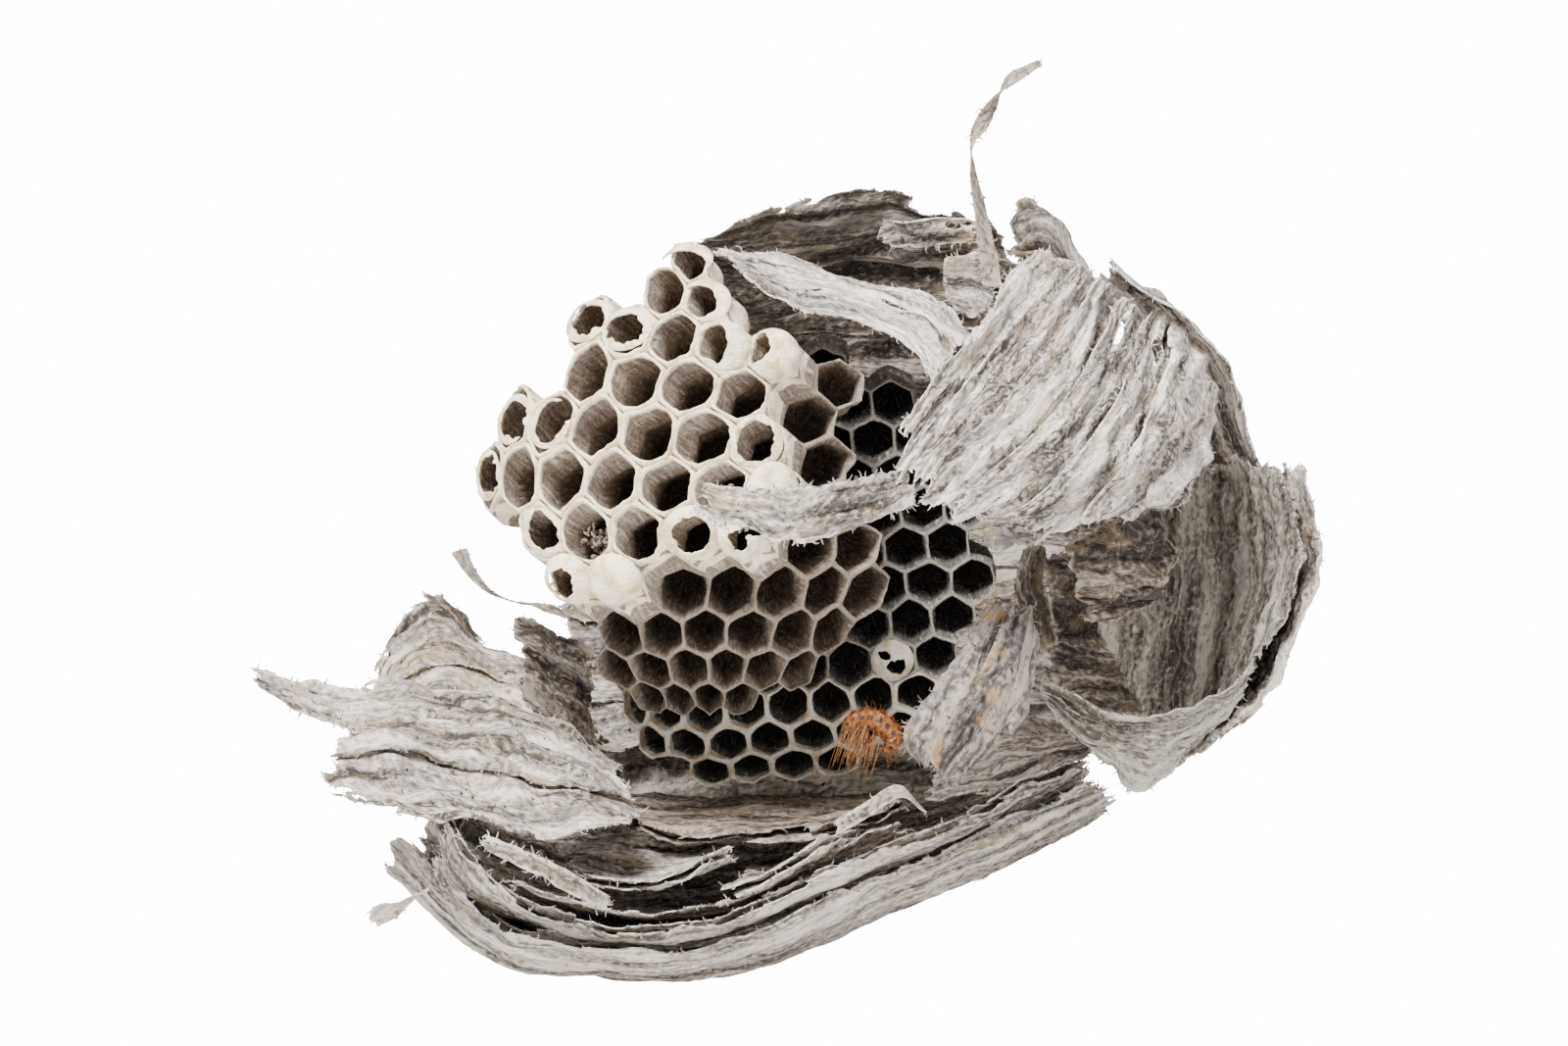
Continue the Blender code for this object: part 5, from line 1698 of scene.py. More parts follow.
def front_broken(lattice: Array) -> Array:
    """How badly the front comb's rims are broken: most at its right side, some at its lower edge."""
    column, row = lattice[:, 0], lattice[:, 1]
    right = smooth_step(column, 4.2, 5.2) * (1.0 - smooth_step(row, 4.6, 6.0))
    return 2.6 * right + 0.15


# The rear comb: where its middle lies, its cells' width, how far it reaches, how its left side bends back,
# how its lower rows shrink and curl, and how it is dipped and turned.
REAR_CENTRE = np.array((-1.0, -4.5, -1.0))
REAR_PITCH = 5.14
REAR_REACH_LEFT, REAR_REACH_RIGHT, REAR_REACH_UP = 27.5, 25.2, 27.0
REAR_BEND_START, REAR_BEND_RADIUS = -8.0, 14.0
REAR_LAST_FLAT_ROW = 5
REAR_ROW_SHRINK, REAR_CURL = 0.25, 1.2
REAR_MIDDLE = (-0.2, 0.3)
REAR_SEARCH = 8
REAR_DIP, REAR_TURN = math.radians(12.0), math.radians(5.0)
REAR_DEPTH = 11.0
# From this row down and left of this column its cells have a silk edge.
SILKY_ROW, SILKY_COLUMN = 4, 3.5


def rear_place(column: Any, row: Any, depth: Any) -> Array:
    """Points of the flat rear comb, whose left side bends back.

    Args:
        column: Place in the lattice, to the right.
        row: Place in the lattice, downwards.
        depth: Depth below the mouths of the cells, in millimetres.

    Returns:
        Points in the nest's frame.
    """
    column, row, depth = np.broadcast_arrays(column, row, depth)
    beyond = np.maximum(0.0, row - REAR_LAST_FLAT_ROW)
    x, y = column * REAR_PITCH, (REAR_ROW_SHRINK * beyond - row) * REAR_PITCH * ROW_RATIO
    bend = (REAR_BEND_START - x) / REAR_BEND_RADIUS
    reach = REAR_BEND_RADIUS - depth / 2
    bent = x < REAR_BEND_START
    back = np.where(bent, depth / 2 + REAR_BEND_RADIUS - reach * np.cos(bend), depth) + REAR_CURL * beyond
    x = np.where(bent, REAR_BEND_START - reach * np.sin(bend), x)
    cosine, sine = math.cos(REAR_TURN), math.sin(REAR_TURN)
    x, y = x * cosine - y * sine, x * sine + y * cosine
    up = y * math.cos(REAR_DIP) + back * math.sin(REAR_DIP)
    out = y * math.sin(REAR_DIP) - back * math.cos(REAR_DIP)
    return REAR_CENTRE + np.stack((x, up, out), -1)


def rear_broken(lattice: Array) -> Array:
    """How badly the rear comb's rims are broken: a little more round its outline."""
    reach = np.hypot(lattice[:, 0] / 5.2, (lattice[:, 1] - 0.3) / 6.0)
    return 0.12 + 0.7 * smooth_step(reach, 0.75, 1.1)


def front_cells() -> list[tuple[float, float, str]]:
    """The front comb's cells."""
    rows = enumerate(FRONT_ROWS)
    return [(first + k, float(row), kind) for row, (first, kinds) in rows for k, kind in enumerate(kinds)]


def rear_cells() -> list[tuple[float, float, str]]:
    """The rear comb's cells: every place of its lattice inside its rounded outline."""
    cells = []
    for row in range(-REAR_SEARCH, REAR_SEARCH):
        for k in range(-REAR_SEARCH, REAR_SEARCH):
            column = k + (row % 2) / 2
            across = (column - REAR_MIDDLE[0]) * REAR_PITCH
            down = (row - REAR_MIDDLE[1]) * REAR_PITCH * ROW_RATIO
            reach = REAR_REACH_LEFT if across < 0 else REAR_REACH_RIGHT
            if math.hypot(across / reach, down / REAR_REACH_UP) < 1.0:
                kind = EDGED_KIND if row >= SILKY_ROW and column < SILKY_COLUMN else BARE_KIND
                cells.append((column, float(row), kind))
    return cells


@dataclass(frozen=True)
class Dome:
    """A silk cap over one cell, whole or torn open.

    Attributes:
        column: Its cell's place in the comb.
        row: Its cell's place in the comb.
        width: How wide it is, in millimetres.
        bulge: How far it stands out.
        openings: Place to the right and up, and two radii, for each opening.
        ragged: How ragged the openings are.
    """

    column: float
    row: float
    width: float
    bulge: float
    openings: tuple[tuple[float, float, float, float], ...] = ()
    ragged: float = 0.35

    STEP = 0.16
    HALF_SILK = 0.09
    SUNK = 0.35

    def shell(self, place: Place) -> Shell:
        """The dome's closed shell.

        Args:
            place: Gives points of the comb it sits on.

        Returns:
            The shell.
        """
        seed = int(self.column * 20 + self.row * 300 + self.width * 50) + 1000
        noise = Noise(seed)
        centre = place(self.column, self.row, 0.0)
        sideways = unit(place(self.column + 0.3, self.row, 0.0) - place(self.column - 0.3, self.row, 0.0))
        rise = place(self.column, self.row - 0.3, 0.0) - place(self.column, self.row + 0.3, 0.0)
        out = unit(np.cross(sideways, rise))
        upward = np.cross(out, sideways)
        radius = self.width / 2
        line = np.arange(-radius - 0.3, radius + 0.3, self.STEP)
        x, y = np.meshgrid(line, -line)
        reach = np.hypot(x, y) / radius
        rough = noise.flat(x, y, 1.6, 1.6) + 0.5 * noise.flat(x, y, 0.6, 0.6)
        height = self.bulge * np.clip(1.0 - reach**2, 0.02, 1.0) ** 0.55 + 0.14 * rough - self.SUNK
        points = centre + x[..., None] * sideways + y[..., None] * upward + height[..., None] * out
        normals = unit(np.cross(np.gradient(points, axis=0), np.gradient(points, axis=1)))
        field = radius * 0.99 - np.hypot(x, y)
        for right, up, wide, high in self.openings:
            gap = (np.hypot((x - right) / wide, (y - up) / high) - 1.0) * min(wide, high)
            field = np.minimum(field, gap + self.ragged * rough)
        marks = np.stack((2 + 0 * x, 0 * x, 0 * x, 1 + 0 * x, 0 * x), -1)
        fibres = np.stack((x, y), -1) + seed
        rows = np.concatenate([points, normals, fibres, marks], -1).reshape(x.size, -1)
        rows, faces = clipped(rows, field.ravel(), grid_faces(*x.shape))
        points, normals, fibres, marks = np.split(rows, (3, 6, 8), axis=1)
        both, closed = thickened(points, unit(normals), faces, np.full(len(points), self.HALF_SILK))
        return Shell(both, closed, np.tile(fibres, (2, 1))[closed], np.tile(marks, (2, 1)))


CRUMBS = 90


def dirt(place: Place, column: float, row: float) -> Shell:
    """Crumbs that lie in one cell.

    Args:
        place: Gives points of the comb.
        column: The cell's place in the comb.
        row: The cell's place in the comb.

    Returns:
        The crumbs' shell.
    """
    draw = np.random.default_rng(66)
    made = []
    for _ in range(CRUMBS):
        turn, reach = draw.uniform(0, 2 * math.pi), 0.34 * math.sqrt(draw.uniform())
        spot = place(column + reach * math.cos(turn), row + reach * math.sin(turn), draw.uniform(2.4, 4.2))
        way = unit(draw.normal(0, 1, 3)) * draw.uniform(0.2, 0.5)
        path = np.stack([spot - way, spot, spot + way])
        radii = np.array((0.1, 0.24, 0.08)) * draw.uniform(0.6, 1.5)
        made.append(strand(path, radii, 5, np.array((1.0, 0.0, 0.0, 0.0, draw.uniform(0, 6)))))
    return joined(made)


@dataclass(frozen=True)
class CastSkin:
    """The empty skin of a grub: a curled body of soft rings, with spots, bristles and a tuft of long hairs.

    Attributes:
        path: Points along its middle.
        radii: Its radius at each of them.
        rings: Number of body rings.
        spots_round: Number of spots round each ring.
    """

    path: tuple = ((6.6, -24.2, 7.6), (8.6, -22.9, 8.4), (11, -23.1, 8.8), (12.6, -25, 8.6), (11.6, -27, 8.2))
    radii: tuple[float, ...] = (0.6, 1.15, 1.4, 1.2, 0.7)
    rings: int = 11
    spots_round: int = 7

    TUFT, BRISTLES = 70, 220
    TUFT_RADII, BRISTLE_RADII = (0.05, 0.05, 0.042, 0.03, 0.012), (0.035, 0.028, 0.01)

    def body(self) -> Shell:
        """The curled body."""
        steps, sides = 110, 30
        share = np.linspace(0, 1, steps)
        path = curve(np.array(self.path, float), share)
        swell = 0.82 + 0.2 * np.abs(np.sin(math.pi * share * self.rings)) ** 0.6
        closing = np.clip(1.02 - (2 * share - 1) ** 8, 0.08, 1.0)
        radii = curve(np.array(self.radii, float), share) * swell * closing
        skin = strand(path, radii, sides, np.array((2.0, 0.0, 0.0, 0.0, 0.0)))
        turn = np.arange(sides) / sides * self.spots_round
        along = (share * self.rings - 0.5)[:, None]
        off_along = np.abs(along - np.round(along))
        off_round = np.abs(turn - np.round(turn))[None]
        skin.marks[:, CREASE] = (np.hypot(off_along * 1.0, off_round * 1.1) < 0.3).ravel()
        noise = Noise(77)
        bumps = [noise.at(skin.points / 0.8 + k * 9) for k in range(3)]
        skin.points[:] = skin.points + 0.12 * np.stack(bumps, -1)
        return skin

    def hairs(self) -> Shell:
        """The golden tuft at its lower left and the short bristles round it."""
        draw = np.random.default_rng(5)
        path = curve(np.array(self.path, float), np.linspace(0, 1, 40))
        made, plain = [], np.zeros(len(MARKS))
        for _ in range(self.TUFT):
            root = path[draw.integers(3, 30)] * (0.5, 1, 1) + (4.2, -0.4, 0.6) + draw.normal(0, 0.5, 3)
            way = unit(np.array((-0.3, -0.9, 0.25)) + draw.normal(0, 0.24, 3))
            length = draw.uniform(2.4, 4.6)
            sag = np.array((-0.1, -0.35, 0.0)) * length * draw.uniform(0.2, 0.6)
            line = np.stack([root + way * length * k + sag * k * k for k in np.linspace(0, 1, 5)])
            made.append(strand(line, np.array(self.TUFT_RADII), 3, plain))
        for _ in range(self.BRISTLES):
            k = draw.integers(0, 40)
            way = unit(draw.normal(0, 1, 3) + np.array((0.5, 0.2, 0.6)))
            root = path[k] + way * 0.9
            tip = root + unit(way + draw.normal(0, 0.3, 3)) * draw.uniform(0.6, 1.7)
            line = np.stack([root, (root + tip) / 2, tip])
            made.append(strand(line, np.array(self.BRISTLE_RADII), 3, plain))
        return joined(made)

    def shell(self) -> Shell:
        """The body and the hairs."""
        return joined([self.body(), self.hairs()])


@dataclass(frozen=True)
class Post:
    """A paper post between the combs, or the stalk that holds them.

    Attributes:
        node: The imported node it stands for.
        path: Points along its middle.
        radii: Its radius at each of them.
    """

    node: str
    path: tuple[tuple[float, float, float], ...]
    radii: tuple[float, ...]

    def shell(self) -> Shell:
        """The post, ribbed along its length."""
        share = np.linspace(0, 1, 60)
        sides = 28
        path = curve(np.array(self.path, float), share)
        radii = curve(np.array(self.radii, float), share)
        post = strand(path, radii, sides, np.array((2.0, 0.0, 0.2, 0.0, 0.0)))
        noise = Noise(len(self.node) * 3)
        centre = np.repeat(path, sides, axis=0)
        outward = post.points - centre
        rough = 0.12 * noise.at(post.points / 0.9) + 0.1 * noise.at(post.points / 2.4 + 5)
        post.points[:] = centre + outward * (1 + rough[:, None])
        return post


ENVELOPE = (
    Sheet(
        "right_wing", Paper.BRIGHT, NETS["right_wing"], strips=6, lift=1.4, spacing=4.6, ridge=1.3,
        crumple=1.2, wrinkle=0.26, torn=(1.0, 2.8, 1.0, 1.6), grow=(3.0, 1.2, 0.6, 2.0), fingers=(0.4, 3.2),
        curl=(0.0, 0.6, 0.0, 0.3), holes=((0.07, 0.74, 2.6, 1.7), (0.07, 0.52, 2.2, 0.6)), step=0.5,
        hairs=0.5,
    ),
    Sheet(
        "wing_tongue", Paper.GREY, NETS["wing_tongue"], ridge=0.5, spacing=2.4, torn=(1.6, 0.8, 0.7, 1.4),
        curl=(0.0, 0.0, 0.2, 0.7), step=0.3, hairs=1.4,
    ),
    Sheet(
        "bridge_sheet", Paper.BRIGHT, NETS["bridge_sheet"], ridge=0.5, torn=(1.2, 1.0, 0.8, 1.8),
        crumple=0.9, grow=(0.8, 1.5, 1.0, 1.2), curl=(0.0, 0.0, 0.0, 0.5),
        holes=((0.3, 0.55, 1.2, 0.4), (0.62, 0.3, 1.6, 0.35)), step=0.4, hairs=1.0,
    ),
    Sheet(
        "crest_crumple", Paper.DUSKY, NETS["crest_crumple"], margin=0.15, grow=(0.3, 0.6, 0.0, 1.2),
        crumple=1.6, ridge=0.8, spacing=2.2, wrinkle=0.35, torn=(1.4, 1.4, 1.0, 1.0),
        curl=(0.6, 0.0, 0.8, 0.0), step=0.35, hairs=1.0,
    ),
    Sheet(
        "roof_patch", Paper.BRIGHT, NETS["roof_patch"], ridge=0.4, spacing=2.6, torn=(3.0, 1.4, 1.8, 1.4),
        crumple=1.2, grow=(1.6, 1.6, 0.8, 1.2), corner=3.2, step=0.35, hairs=1.0,
    ),
    Sheet(
        "inner_fold", Paper.HULL, NETS["inner_fold"], torn=(1.2, 1.2, 0.8, 0.8), corner=0.8, margin=0.3,
        grow=(2.5, 2.5, 1.6, 2.4), step=0.3,
    ),
    Sheet(
        "right_band", Paper.BRIGHT, NETS["right_band"], strips=2, lift=0.6, outside=-1.0, spacing=3.0,
        ridge=0.7, torn=(1.4, 1.2, 1.0, 1.6), grow=(3.0, 5.5, 4.0, 0.6), margin=0.2, fingers=(0.6, 1.0),
        hairs=0.8,
    ),
    Sheet(
        "cup_wall", Paper.OLIVE, NETS["cup_wall"], turned=True, spacing=3.6, ridge=0.6, crumple=0.8,
        wrinkle=0.3, torn=(1.0, 1.4, 1.2, 1.6), grow=(4.0, 1.0, 3.0, 0.8), margin=0.14, hairs=1.0,
    ),
    Sheet(
        "cup_skin", Paper.GREY, NETS["cup_skin"], turned=True, spacing=3.0, ridge=0.6, crumple=0.9,
        wrinkle=0.4, torn=(1.6, 1.0, 1.2, 1.4), curl=(0.5, 0.0, 0.3, 0.0), hairs=1.4,
    ),
    Sheet(
        "pocket_fold", Paper.OLIVE, NETS["pocket_fold"], strips=3, lift=0.6, spacing=2.2, ridge=0.6,
        torn=(1.2, 1.0, 0.9, 1.2), grow=(2.0, 1.0, 0.8, 1.0), margin=0.1, fingers=(1.6, 0.8),
        curl=(0.0, 0.0, 0.9, 0.0), step=0.42, hairs=1.0,
    ),
    Sheet(
        "side_strip", Paper.BROWN, NETS["side_strip"], ridge=0.4, crumple=0.9, torn=(1.0, 1.0, 0.7, 0.7),
        corner=1.4, step=0.3, hairs=1.0,
    ),
    Sheet(
        "leaf_flap", Paper.LEAF, NETS["leaf_flap"], strips=2, lift=0.5, spacing=3.2, ridge=0.45,
        crumple=0.7, torn=(1.4, 1.4, 0.7, 1.2), curl=(0.0, 0.0, -0.6, 0.5), corner=4.0, step=0.36,
        hairs=1.4,
    ),
    Sheet(
        "curtain", Paper.BROWN, NETS["curtain"], crumple=1.5, ridge=0.6, wrinkle=0.4,
        torn=(1.2, 0.8, 0.6, 1.8), holes=((0.4, 0.6, 1.2, 0.7),), step=0.35, hairs=0.8,
    ),
    Sheet(
        "partition", Paper.BROWN, NETS["partition"], torn=(0.8, 0.8, 0.6, 0.9), margin=0.25,
        grow=(1.5, 1.5, 0.5, 3.5), step=0.45,
    ),
    Sheet(
        "left_flap", Paper.GREY, NETS["left_flap"], strips=2, lift=0.6, spacing=3.0, ridge=0.8, crumple=1.5,
        wrinkle=0.4, torn=(4.0, 1.6, 1.0, 2.2), grow=(0.6, 1.8, 1.4, 0.9), corner=0.8, fingers=(2.6, 0.8),
        curl=(0.4, 0.3, 0.0, 0.6), step=0.4, hairs=1.2,
    ),
    Sheet(
        "left_tongue", Paper.GREY, NETS["left_tongue"], ridge=0.4, spacing=2.0, torn=(2.0, 0.3, 0.8, 1.0),
        margin=0.4, grow=(1.0, 4.5, 0.0, 0.6), step=0.3, hairs=1.0,
    ),
    Sheet(
        "left_wall", Paper.FADED, NETS["left_wall"], strips=2, torn=(2.4, 1.4, 3.2, 0.8),
        fingers=(2.5, 0.8), crumple=1.4, wrinkle=0.4, spacing=3.2, curl=(0.4, 0.0, 0.6, 0.0), step=0.45,
        hairs=0.8,
    ),
    Sheet(
        "left_inner_fold", Paper.BROWN, NETS["left_inner_fold"], torn=(0.8, 0.8, 1.2, 0.6), margin=0.6,
        grow=(3.5, 3.0, 0.6, 1.5), step=0.35,
    ),
    Sheet(
        "ledge_upper", Paper.BROWN, NETS["ledge_upper"], torn=(0.8, 0.8, 0.6, 1.4), plies=(0.0, -0.9),
        step=0.56,
    ),
    Sheet(
        "ledge_left", Paper.HULL, NETS["ledge_left"], torn=(1.0, 1.0, 0.8, 1.4), curl=(0.0, 0.0, 0.0, 0.5),
        plies=(0.0, -0.9), step=0.42, hairs=1.0,
    ),
    Sheet(
        "ledge_right", Paper.HULL, NETS["ledge_right"], torn=(1.0, 1.0, 0.8, 1.4),
        curl=(0.0, 0.0, 0.0, 0.5), plies=(0.0, -0.9), step=0.42, hairs=1.0,
    ),
    Sheet(
        "narrow_strip", Paper.GREY, NETS["narrow_strip"], crumple=0.3, ridge=0.15, wrinkle=0.12,
        torn=(0.8, 0.8, 0.25, 0.35), corner=0.6, step=0.16,
    ),
    Sheet(
        "floor_sheet", Paper.DUSKY, NETS["floor_sheet"], torn=(1.0, 1.4, 0.8, 1.6), margin=0.6,
        grow=(0.5, 8.0, 1.0, 2.5), step=0.5,
    ),
    Sheet(
        "front_scroll", Paper.HULL, NETS["front_scroll"], crumple=0.5, ridge=0.25, wrinkle=0.2,
        torn=(1.2, 1.2, 0.4, 0.5), corner=1.0, curl=(0.0, 0.0, 0.0, 0.4), step=0.22, hairs=1.4,
    ),
    Sheet(
        "hull_inner", Paper.HULL, NETS["hull_inner"], crumple=0.55, ridge=0.5, torn=(1.4, 1.4, 1.6, 1.0),
        curl=(0.0, 0.0, -1.0, 0.0), plies=(0.0,), step=0.5, hairs=0.8,
    ),
    Sheet(
        "hull_middle", Paper.HULL, NETS["hull_middle"], crumple=0.55, ridge=0.5, torn=(1.4, 1.4, 1.8, 1.0),
        curl=(0.0, 0.0, -1.3, 0.0), plies=(0.0, -0.9), step=0.68, hairs=0.8,
    ),
    Sheet(
        "hull_outer", Paper.HULL, NETS["hull_outer"], strips=4, lift=0.8, crumple=0.5, ridge=0.45,
        torn=(1.6, 1.6, 1.8, 2.0), curl=(0.0, 0.0, -1.8, 0.0), grow=(0.5, 2.0, 0.5, 0.5),
        fingers=(1.5, 1.5), plies=(0.0, -1.1), step=0.84, hairs=0.8,
    ),
    Sheet(
        "back_roof", Paper.DUSKY, back_net(-2.6, (-42, 46), (14, 60), 9), strips=4, lift=1.2, spacing=4.2,
        ridge=0.8, torn=(2.4, 2.4, 1.0, 3.0), fingers=(2.5, 2.5), crumple=1.2, step=0.6, hairs=0.8,
    ),
    Sheet(
        "back_left", Paper.GREY, back_net(-0.4, (-48, 4), (-30, 30), 2), strips=5, lift=1.2, spacing=4.0,
        ridge=0.7, torn=(2.0, 1.6, 1.2, 2.0), fingers=(2.5, 1.5), step=0.7, hairs=0.8,
    ),
    Sheet(
        "back_right", Paper.GREY, back_net(2.2, (-8, 43), (-21, 24), 2), strips=4, lift=1.2, spacing=4.0,
        ridge=0.7, torn=(1.6, 2.0, 1.2, 2.0), fingers=(1.5, 2.5), step=0.7, hairs=0.8,
    ),
    Sheet(
        "crest_ribbon", Paper.BROWN, ribbon_net(RIBBON), crumple=0.2, ridge=0.1, spacing=1.2, wrinkle=0.1,
        torn=(0.5, 0.5, 0.16, 0.2), corner=0.3, step=0.1, hairs=1.0,
    ),
    Sheet(
        "left_curl", Paper.BROWN, ribbon_net(CURL), crumple=0.3, ridge=0.1, spacing=1.2, wrinkle=0.15,
        torn=(0.4, 0.4, 0.2, 0.25), grow=(0.5, 5.0, 0.2, 0.2), margin=0.45, corner=0.3, step=0.14,
    ),
    Sheet(
        "left_scrap", Paper.HULL, ribbon_net(SCRAP_LEFT), crumple=0.3, ridge=0.1, spacing=1.2, wrinkle=0.15,
        torn=(0.6, 0.4, 0.3, 0.3), grow=(1.2, 4.0, 0.3, 0.3), margin=0.8, corner=0.4, step=0.14,
    ),
)


@dataclass(frozen=True)
class Envelope:
    """The torn grey envelope of many sheets."""

    sheets: tuple[Sheet, ...] = ENVELOPE

    def build(self) -> None:
        """Makes every sheet."""
        group = make_paper_group()
        finishes = {paper: PAPERS[paper].material(paper.value, group) for paper in Paper}
        for sheet in self.sheets:
            slot = SLOTS.get(sheet.paper, "grey_paper")
            add_piece(f"{sheet.node}_paper", sheet.shell(), finishes[sheet.paper], slot, sheet.node)


FRONT = Comb(
    "comb_front", front_cells(), front_place, FRONT_PITCH, FRONT_DEPTH, SILK_STEP, front_broken, seed=11
)
REAR = Comb(
    "comb_rear", rear_cells(), rear_place, (REAR_PITCH, REAR_PITCH * ROW_RATIO), REAR_DEPTH, 0.0, rear_broken,
    seed=12,
)
REAR_FINISH = CellFinish(
    silk=(0.82, 0.76, 0.67), rim=(0.30, 0.26, 0.22), middle=(0.22, 0.19, 0.16), deep=(0.06, 0.049, 0.041)
)
# The cell that dirt lies in.
DIRTY_CELL = (1.0, 6.0)
# Torn membranes of silk that still hang in the mouths of open cells.
MEMBRANES = (
    Dome(2.0, 0.0, 5.9, 0.9, ((0.3, -1.5, 2.9, 2.5),), 0.3),
    Dome(2.5, 1.0, 5.9, 0.6, ((-0.8, -0.5, 2.2, 2.3),), 0.3),
    Dome(0.0, 2.0, 6.0, 1.4, ((0.6, -0.3, 2.0, 2.0), (-1.6, 1.0, 1.0, 0.8)), 0.5),
    Dome(1.0, 2.0, 6.0, 1.2, ((0.2, -0.5, 2.3, 2.0),), 0.5),
    Dome(3.0, 2.0, 6.0, 1.6, ((-1.2, -0.2, 1.8, 2.2),), 0.4),
    Dome(3.0, 6.0, 6.2, 1.3, ((0.1, -0.1, 2.1, 2.1),), 0.45),
    Dome(-1.0, 4.0, 6.0, 0.9, ((0.5, -0.1, 2.2, 2.3),), 0.5),
    Dome(0.0, 4.0, 5.9, 0.4, ((0.4, 0.2, 2.3, 2.4),), 0.6),
    Dome(4.0, 4.0, 6.0, 0.7, ((-0.4, 0.1, 2.2, 2.3),), 0.4),
    Dome(-1.5, 5.0, 5.9, 0.6, ((0.5, 0.1, 2.2, 2.3),), 0.5),
    Dome(0.0, 6.0, 5.9, 0.5, ((0.3, 0.2, 2.2, 2.3),), 0.4),
)
CAPS = {
    "silk_cap_1": Dome(4.0, 2.0, 6.1, 2.6, ((-2.1, 0.1, 1.4, 1.9),)),
    "silk_cap_2": Dome(4.5, 5.0, 6.1, 2.6),
    "silk_cap_3": Dome(4.0, 6.0, 6.1, 1.9, ((-0.9, -0.4, 1.2, 1.4), (1.1, 0.7, 1.1, 0.8)), 0.6),
    "silk_cap_4": Dome(0.5, 7.0, 6.1, 2.5, ((-0.1, 0.2, 1.7, 1.9),)),
    "silk_cap_5": Dome(1.5, 7.0, 6.2, 3.0),
}
REAR_CAP = Dome(2.5, 3.0, 5.0, 1.3, ((0.4, -0.7, 1.1, 0.8), (-1.0, 0.8, 0.6, 0.5)), 0.45)
POSTS = (
    Post("comb_post_left", ((-17.2, 8.6, 8.8), (-17.4, 9, 5), (-17.3, 9.1, 1.1)), (2, 1.3, 1.8)),
    Post("comb_post_right", ((-3.4, 10.6, 10.2), (-2.6, 8.6, 6.6), (-1.9, 7, 2.9)), (2, 1.3, 1.8)),
    Post("comb_post_lower", ((-8.7, -11.8, 6.4), (-8.4, -12.6, 2.8), (-8, -13.4, -1.4)), (1.8, 1.3, 1.8)),
    Post("comb_stalk", ((1, -1.5, -13.8), (2.5, -1, -28), (4, -0.5, -45.8)), (4.2, 2.6, 3.4)),
)


@dataclass(frozen=True)
class Combs:
    """The two combs with their silk caps, their posts and the cast skin that lies against them."""

    front: Comb = FRONT
    rear: Comb = REAR
    skin: CastSkin = CastSkin()

    def build(self) -> None:
        """Makes the combs and everything on them."""
        group = make_cell_group()
        front = CellFinish().material("front_cells", group)
        rear = REAR_FINISH.material("rear_cells", group)
        membranes = [dome.shell(front_place) for dome in MEMBRANES]
        front_shell = joined([self.front.shell(), *membranes, dirt(front_place, *DIRTY_CELL)])
        add_piece("comb_front_cells", front_shell, front, "comb_paper", "comb_front")
        add_piece("comb_rear_cells", self.rear.shell(), rear, "comb_paper", "comb_rear")
        for node, dome in CAPS.items():
            add_piece(f"{node}_dome", dome.shell(front_place), front, "silk", node)
        add_piece("silk_cap_rear_dome", REAR_CAP.shell(rear_place), rear, "silk", "silk_cap_rear")
        amber = SkinFinish().material("cast_skin")
        add_piece("cast_skin_body", self.skin.shell(), amber, "cast_skin", "cast_skin")
        brown = PAPERS[Paper.BROWN].material("post_paper", bpy.data.node_groups["Wasp paper"])
        for post in POSTS:
            add_piece(f"{post.node}_paper", post.shell(), brown, "brown_paper", post.node)


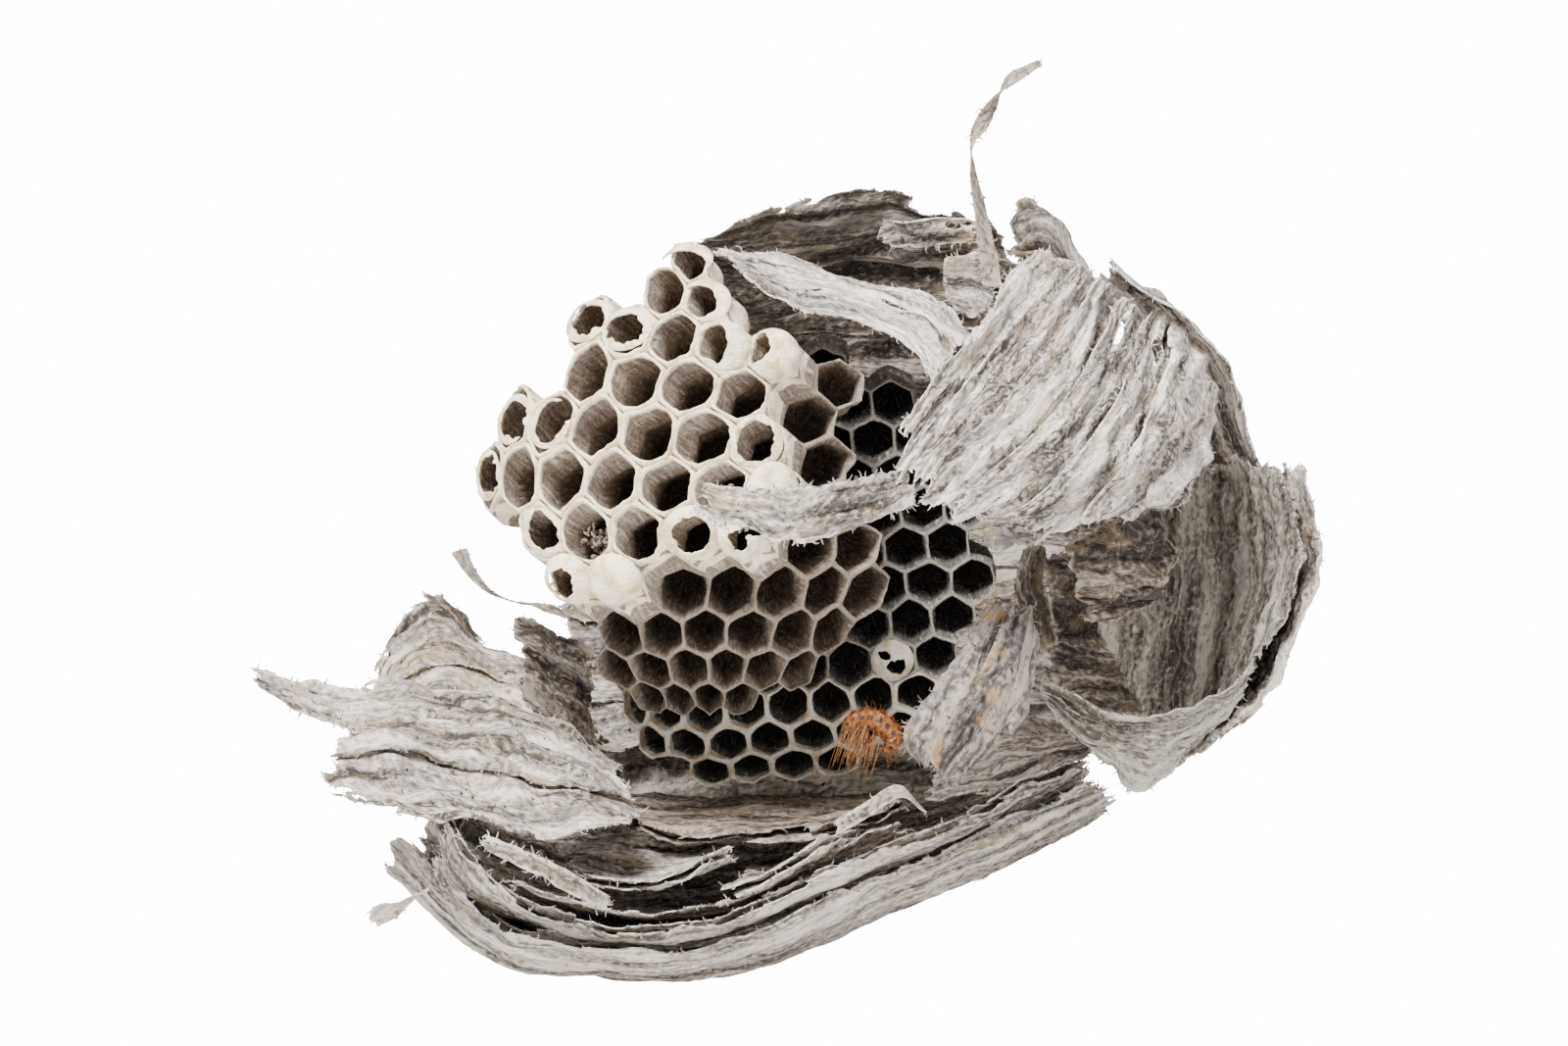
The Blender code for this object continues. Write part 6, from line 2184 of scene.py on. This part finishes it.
@dataclass(frozen=True)
class Studio:
    """The pale floor, the soft lights and the camera.

    Attributes:
        floor: Width of the floor, in metres.
        focus: The point that the camera and the lamps look at.
        eye: Where the camera is.
        lens: Its focal length, in millimetres.
        backdrop: How much brighter the background and the floor look to the camera alone.
        daylight: How strongly the background lights the nest.
        lamps: Name, place, width in metres and power in watts of each lamp.
    """

    floor: float = 4.0
    focus: tuple[float, float, float] = (0.008, 0.0013, 0.04976)
    eye: tuple[float, float, float] = (0.008, -0.4357, 0.2088)
    lens: float = 90.0
    backdrop: float = 16.0
    daylight: float = 0.7
    lamps: tuple = (("key", (-0.12, -0.2, 0.5), 0.2, 9.5), ("fill", (0.5, -0.5, 0.35), 0.6, 2.0))

    def build(self) -> None:
        """Makes the stage and sets the camera."""
        self.ground()
        world = bpy.data.worlds.new("studio")
        bpy.context.scene.world = world
        world.use_nodes = True
        tree = world.node_tree
        seen = add_node(tree, "ShaderNodeLightPath").outputs["Is Camera Ray"]
        strength = maths(tree, "MULTIPLY_ADD", seen, self.backdrop, self.daylight)
        background = tree.nodes["Background"]
        background.inputs["Color"].default_value = (1.0, 1.0, 1.0, 1.0)
        tree.links.new(strength, background.inputs["Strength"])
        for lamp in self.lamps:
            self.lamp(*lamp)
        camera = bpy.data.cameras.new("camera")
        camera.lens, camera.clip_start, camera.clip_end = self.lens, 0.02, 20.0
        viewer = bpy.data.objects.new("camera", camera)
        viewer.location = self.eye
        viewer.rotation_euler = self.aim(self.eye)
        bpy.context.scene.collection.objects.link(viewer)
        bpy.context.scene.camera = viewer

    def aim(self, place: Sequence[float]) -> Any:
        """The turn of something that looks from a place at the focus."""
        return (Vector(self.focus) - Vector(place)).to_track_quat("-Z", "Y").to_euler()

    def ground(self) -> None:
        """The floor, which glows where the camera sees it so that it blends into the background."""
        material = bpy.data.materials.new("floor")
        material.use_nodes = True
        tree = material.node_tree
        shader = tree.nodes["Principled BSDF"]
        shader.inputs["Base Color"].default_value = (0.9, 0.9, 0.9, 1.0)
        shader.inputs["Roughness"].default_value = 0.9
        shader.inputs["Emission Color"].default_value = (1.0, 1.0, 1.0, 1.0)
        seen = add_node(tree, "ShaderNodeLightPath").outputs["Is Camera Ray"]
        tree.links.new(maths(tree, "MULTIPLY", seen, self.backdrop), shader.inputs["Emission Strength"])
        half = self.floor / 2.0
        mesh = bpy.data.meshes.new("floor")
        corners = [(x * half, y * half, 0.0) for x, y in ((-1, -1), (1, -1), (1, 1), (-1, 1))]
        mesh.from_pydata(corners, [], [range(4)])
        mesh.materials.append(material)
        floor = bpy.data.objects.new("floor", mesh)
        bpy.context.scene.collection.objects.link(floor)
        floor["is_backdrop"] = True

    def lamp(self, name: str, place: tuple[float, float, float], size: float, power: float) -> None:
        """Adds one soft lamp.

        Args:
            name: Its name.
            place: Where it stands.
            size: Width of its square, in metres.
            power: Its power in watts.
        """
        light = bpy.data.lights.new(name, "AREA")
        light.size, light.energy = size, power
        lamp = bpy.data.objects.new(name, light)
        lamp.location = place
        lamp.rotation_euler = self.aim(place)
        bpy.context.scene.collection.objects.link(lamp)


def main() -> dict[str, list[list[float]]]:
    """Builds the nest and its stage.

    Returns:
        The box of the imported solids.
    """
    logging.basicConfig(level=logging.INFO, format="%(message)s", stream=sys.stdout)
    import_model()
    low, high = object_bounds()
    LOG.info("building the envelope")
    Envelope().build()
    LOG.info("building the combs")
    Combs().build()
    LOG.info("setting the stage")
    Studio().build()
    return {"solids": [list(low), list(high)]}


def write_sizes(sizes: dict[str, list[list[float]]]) -> None:
    """Puts the box of the finished looks beside the box of the solids."""
    low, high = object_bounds()
    sizes["looks"] = [list(low), list(high)]


if __name__ == "__main__":
    write_sizes(main())
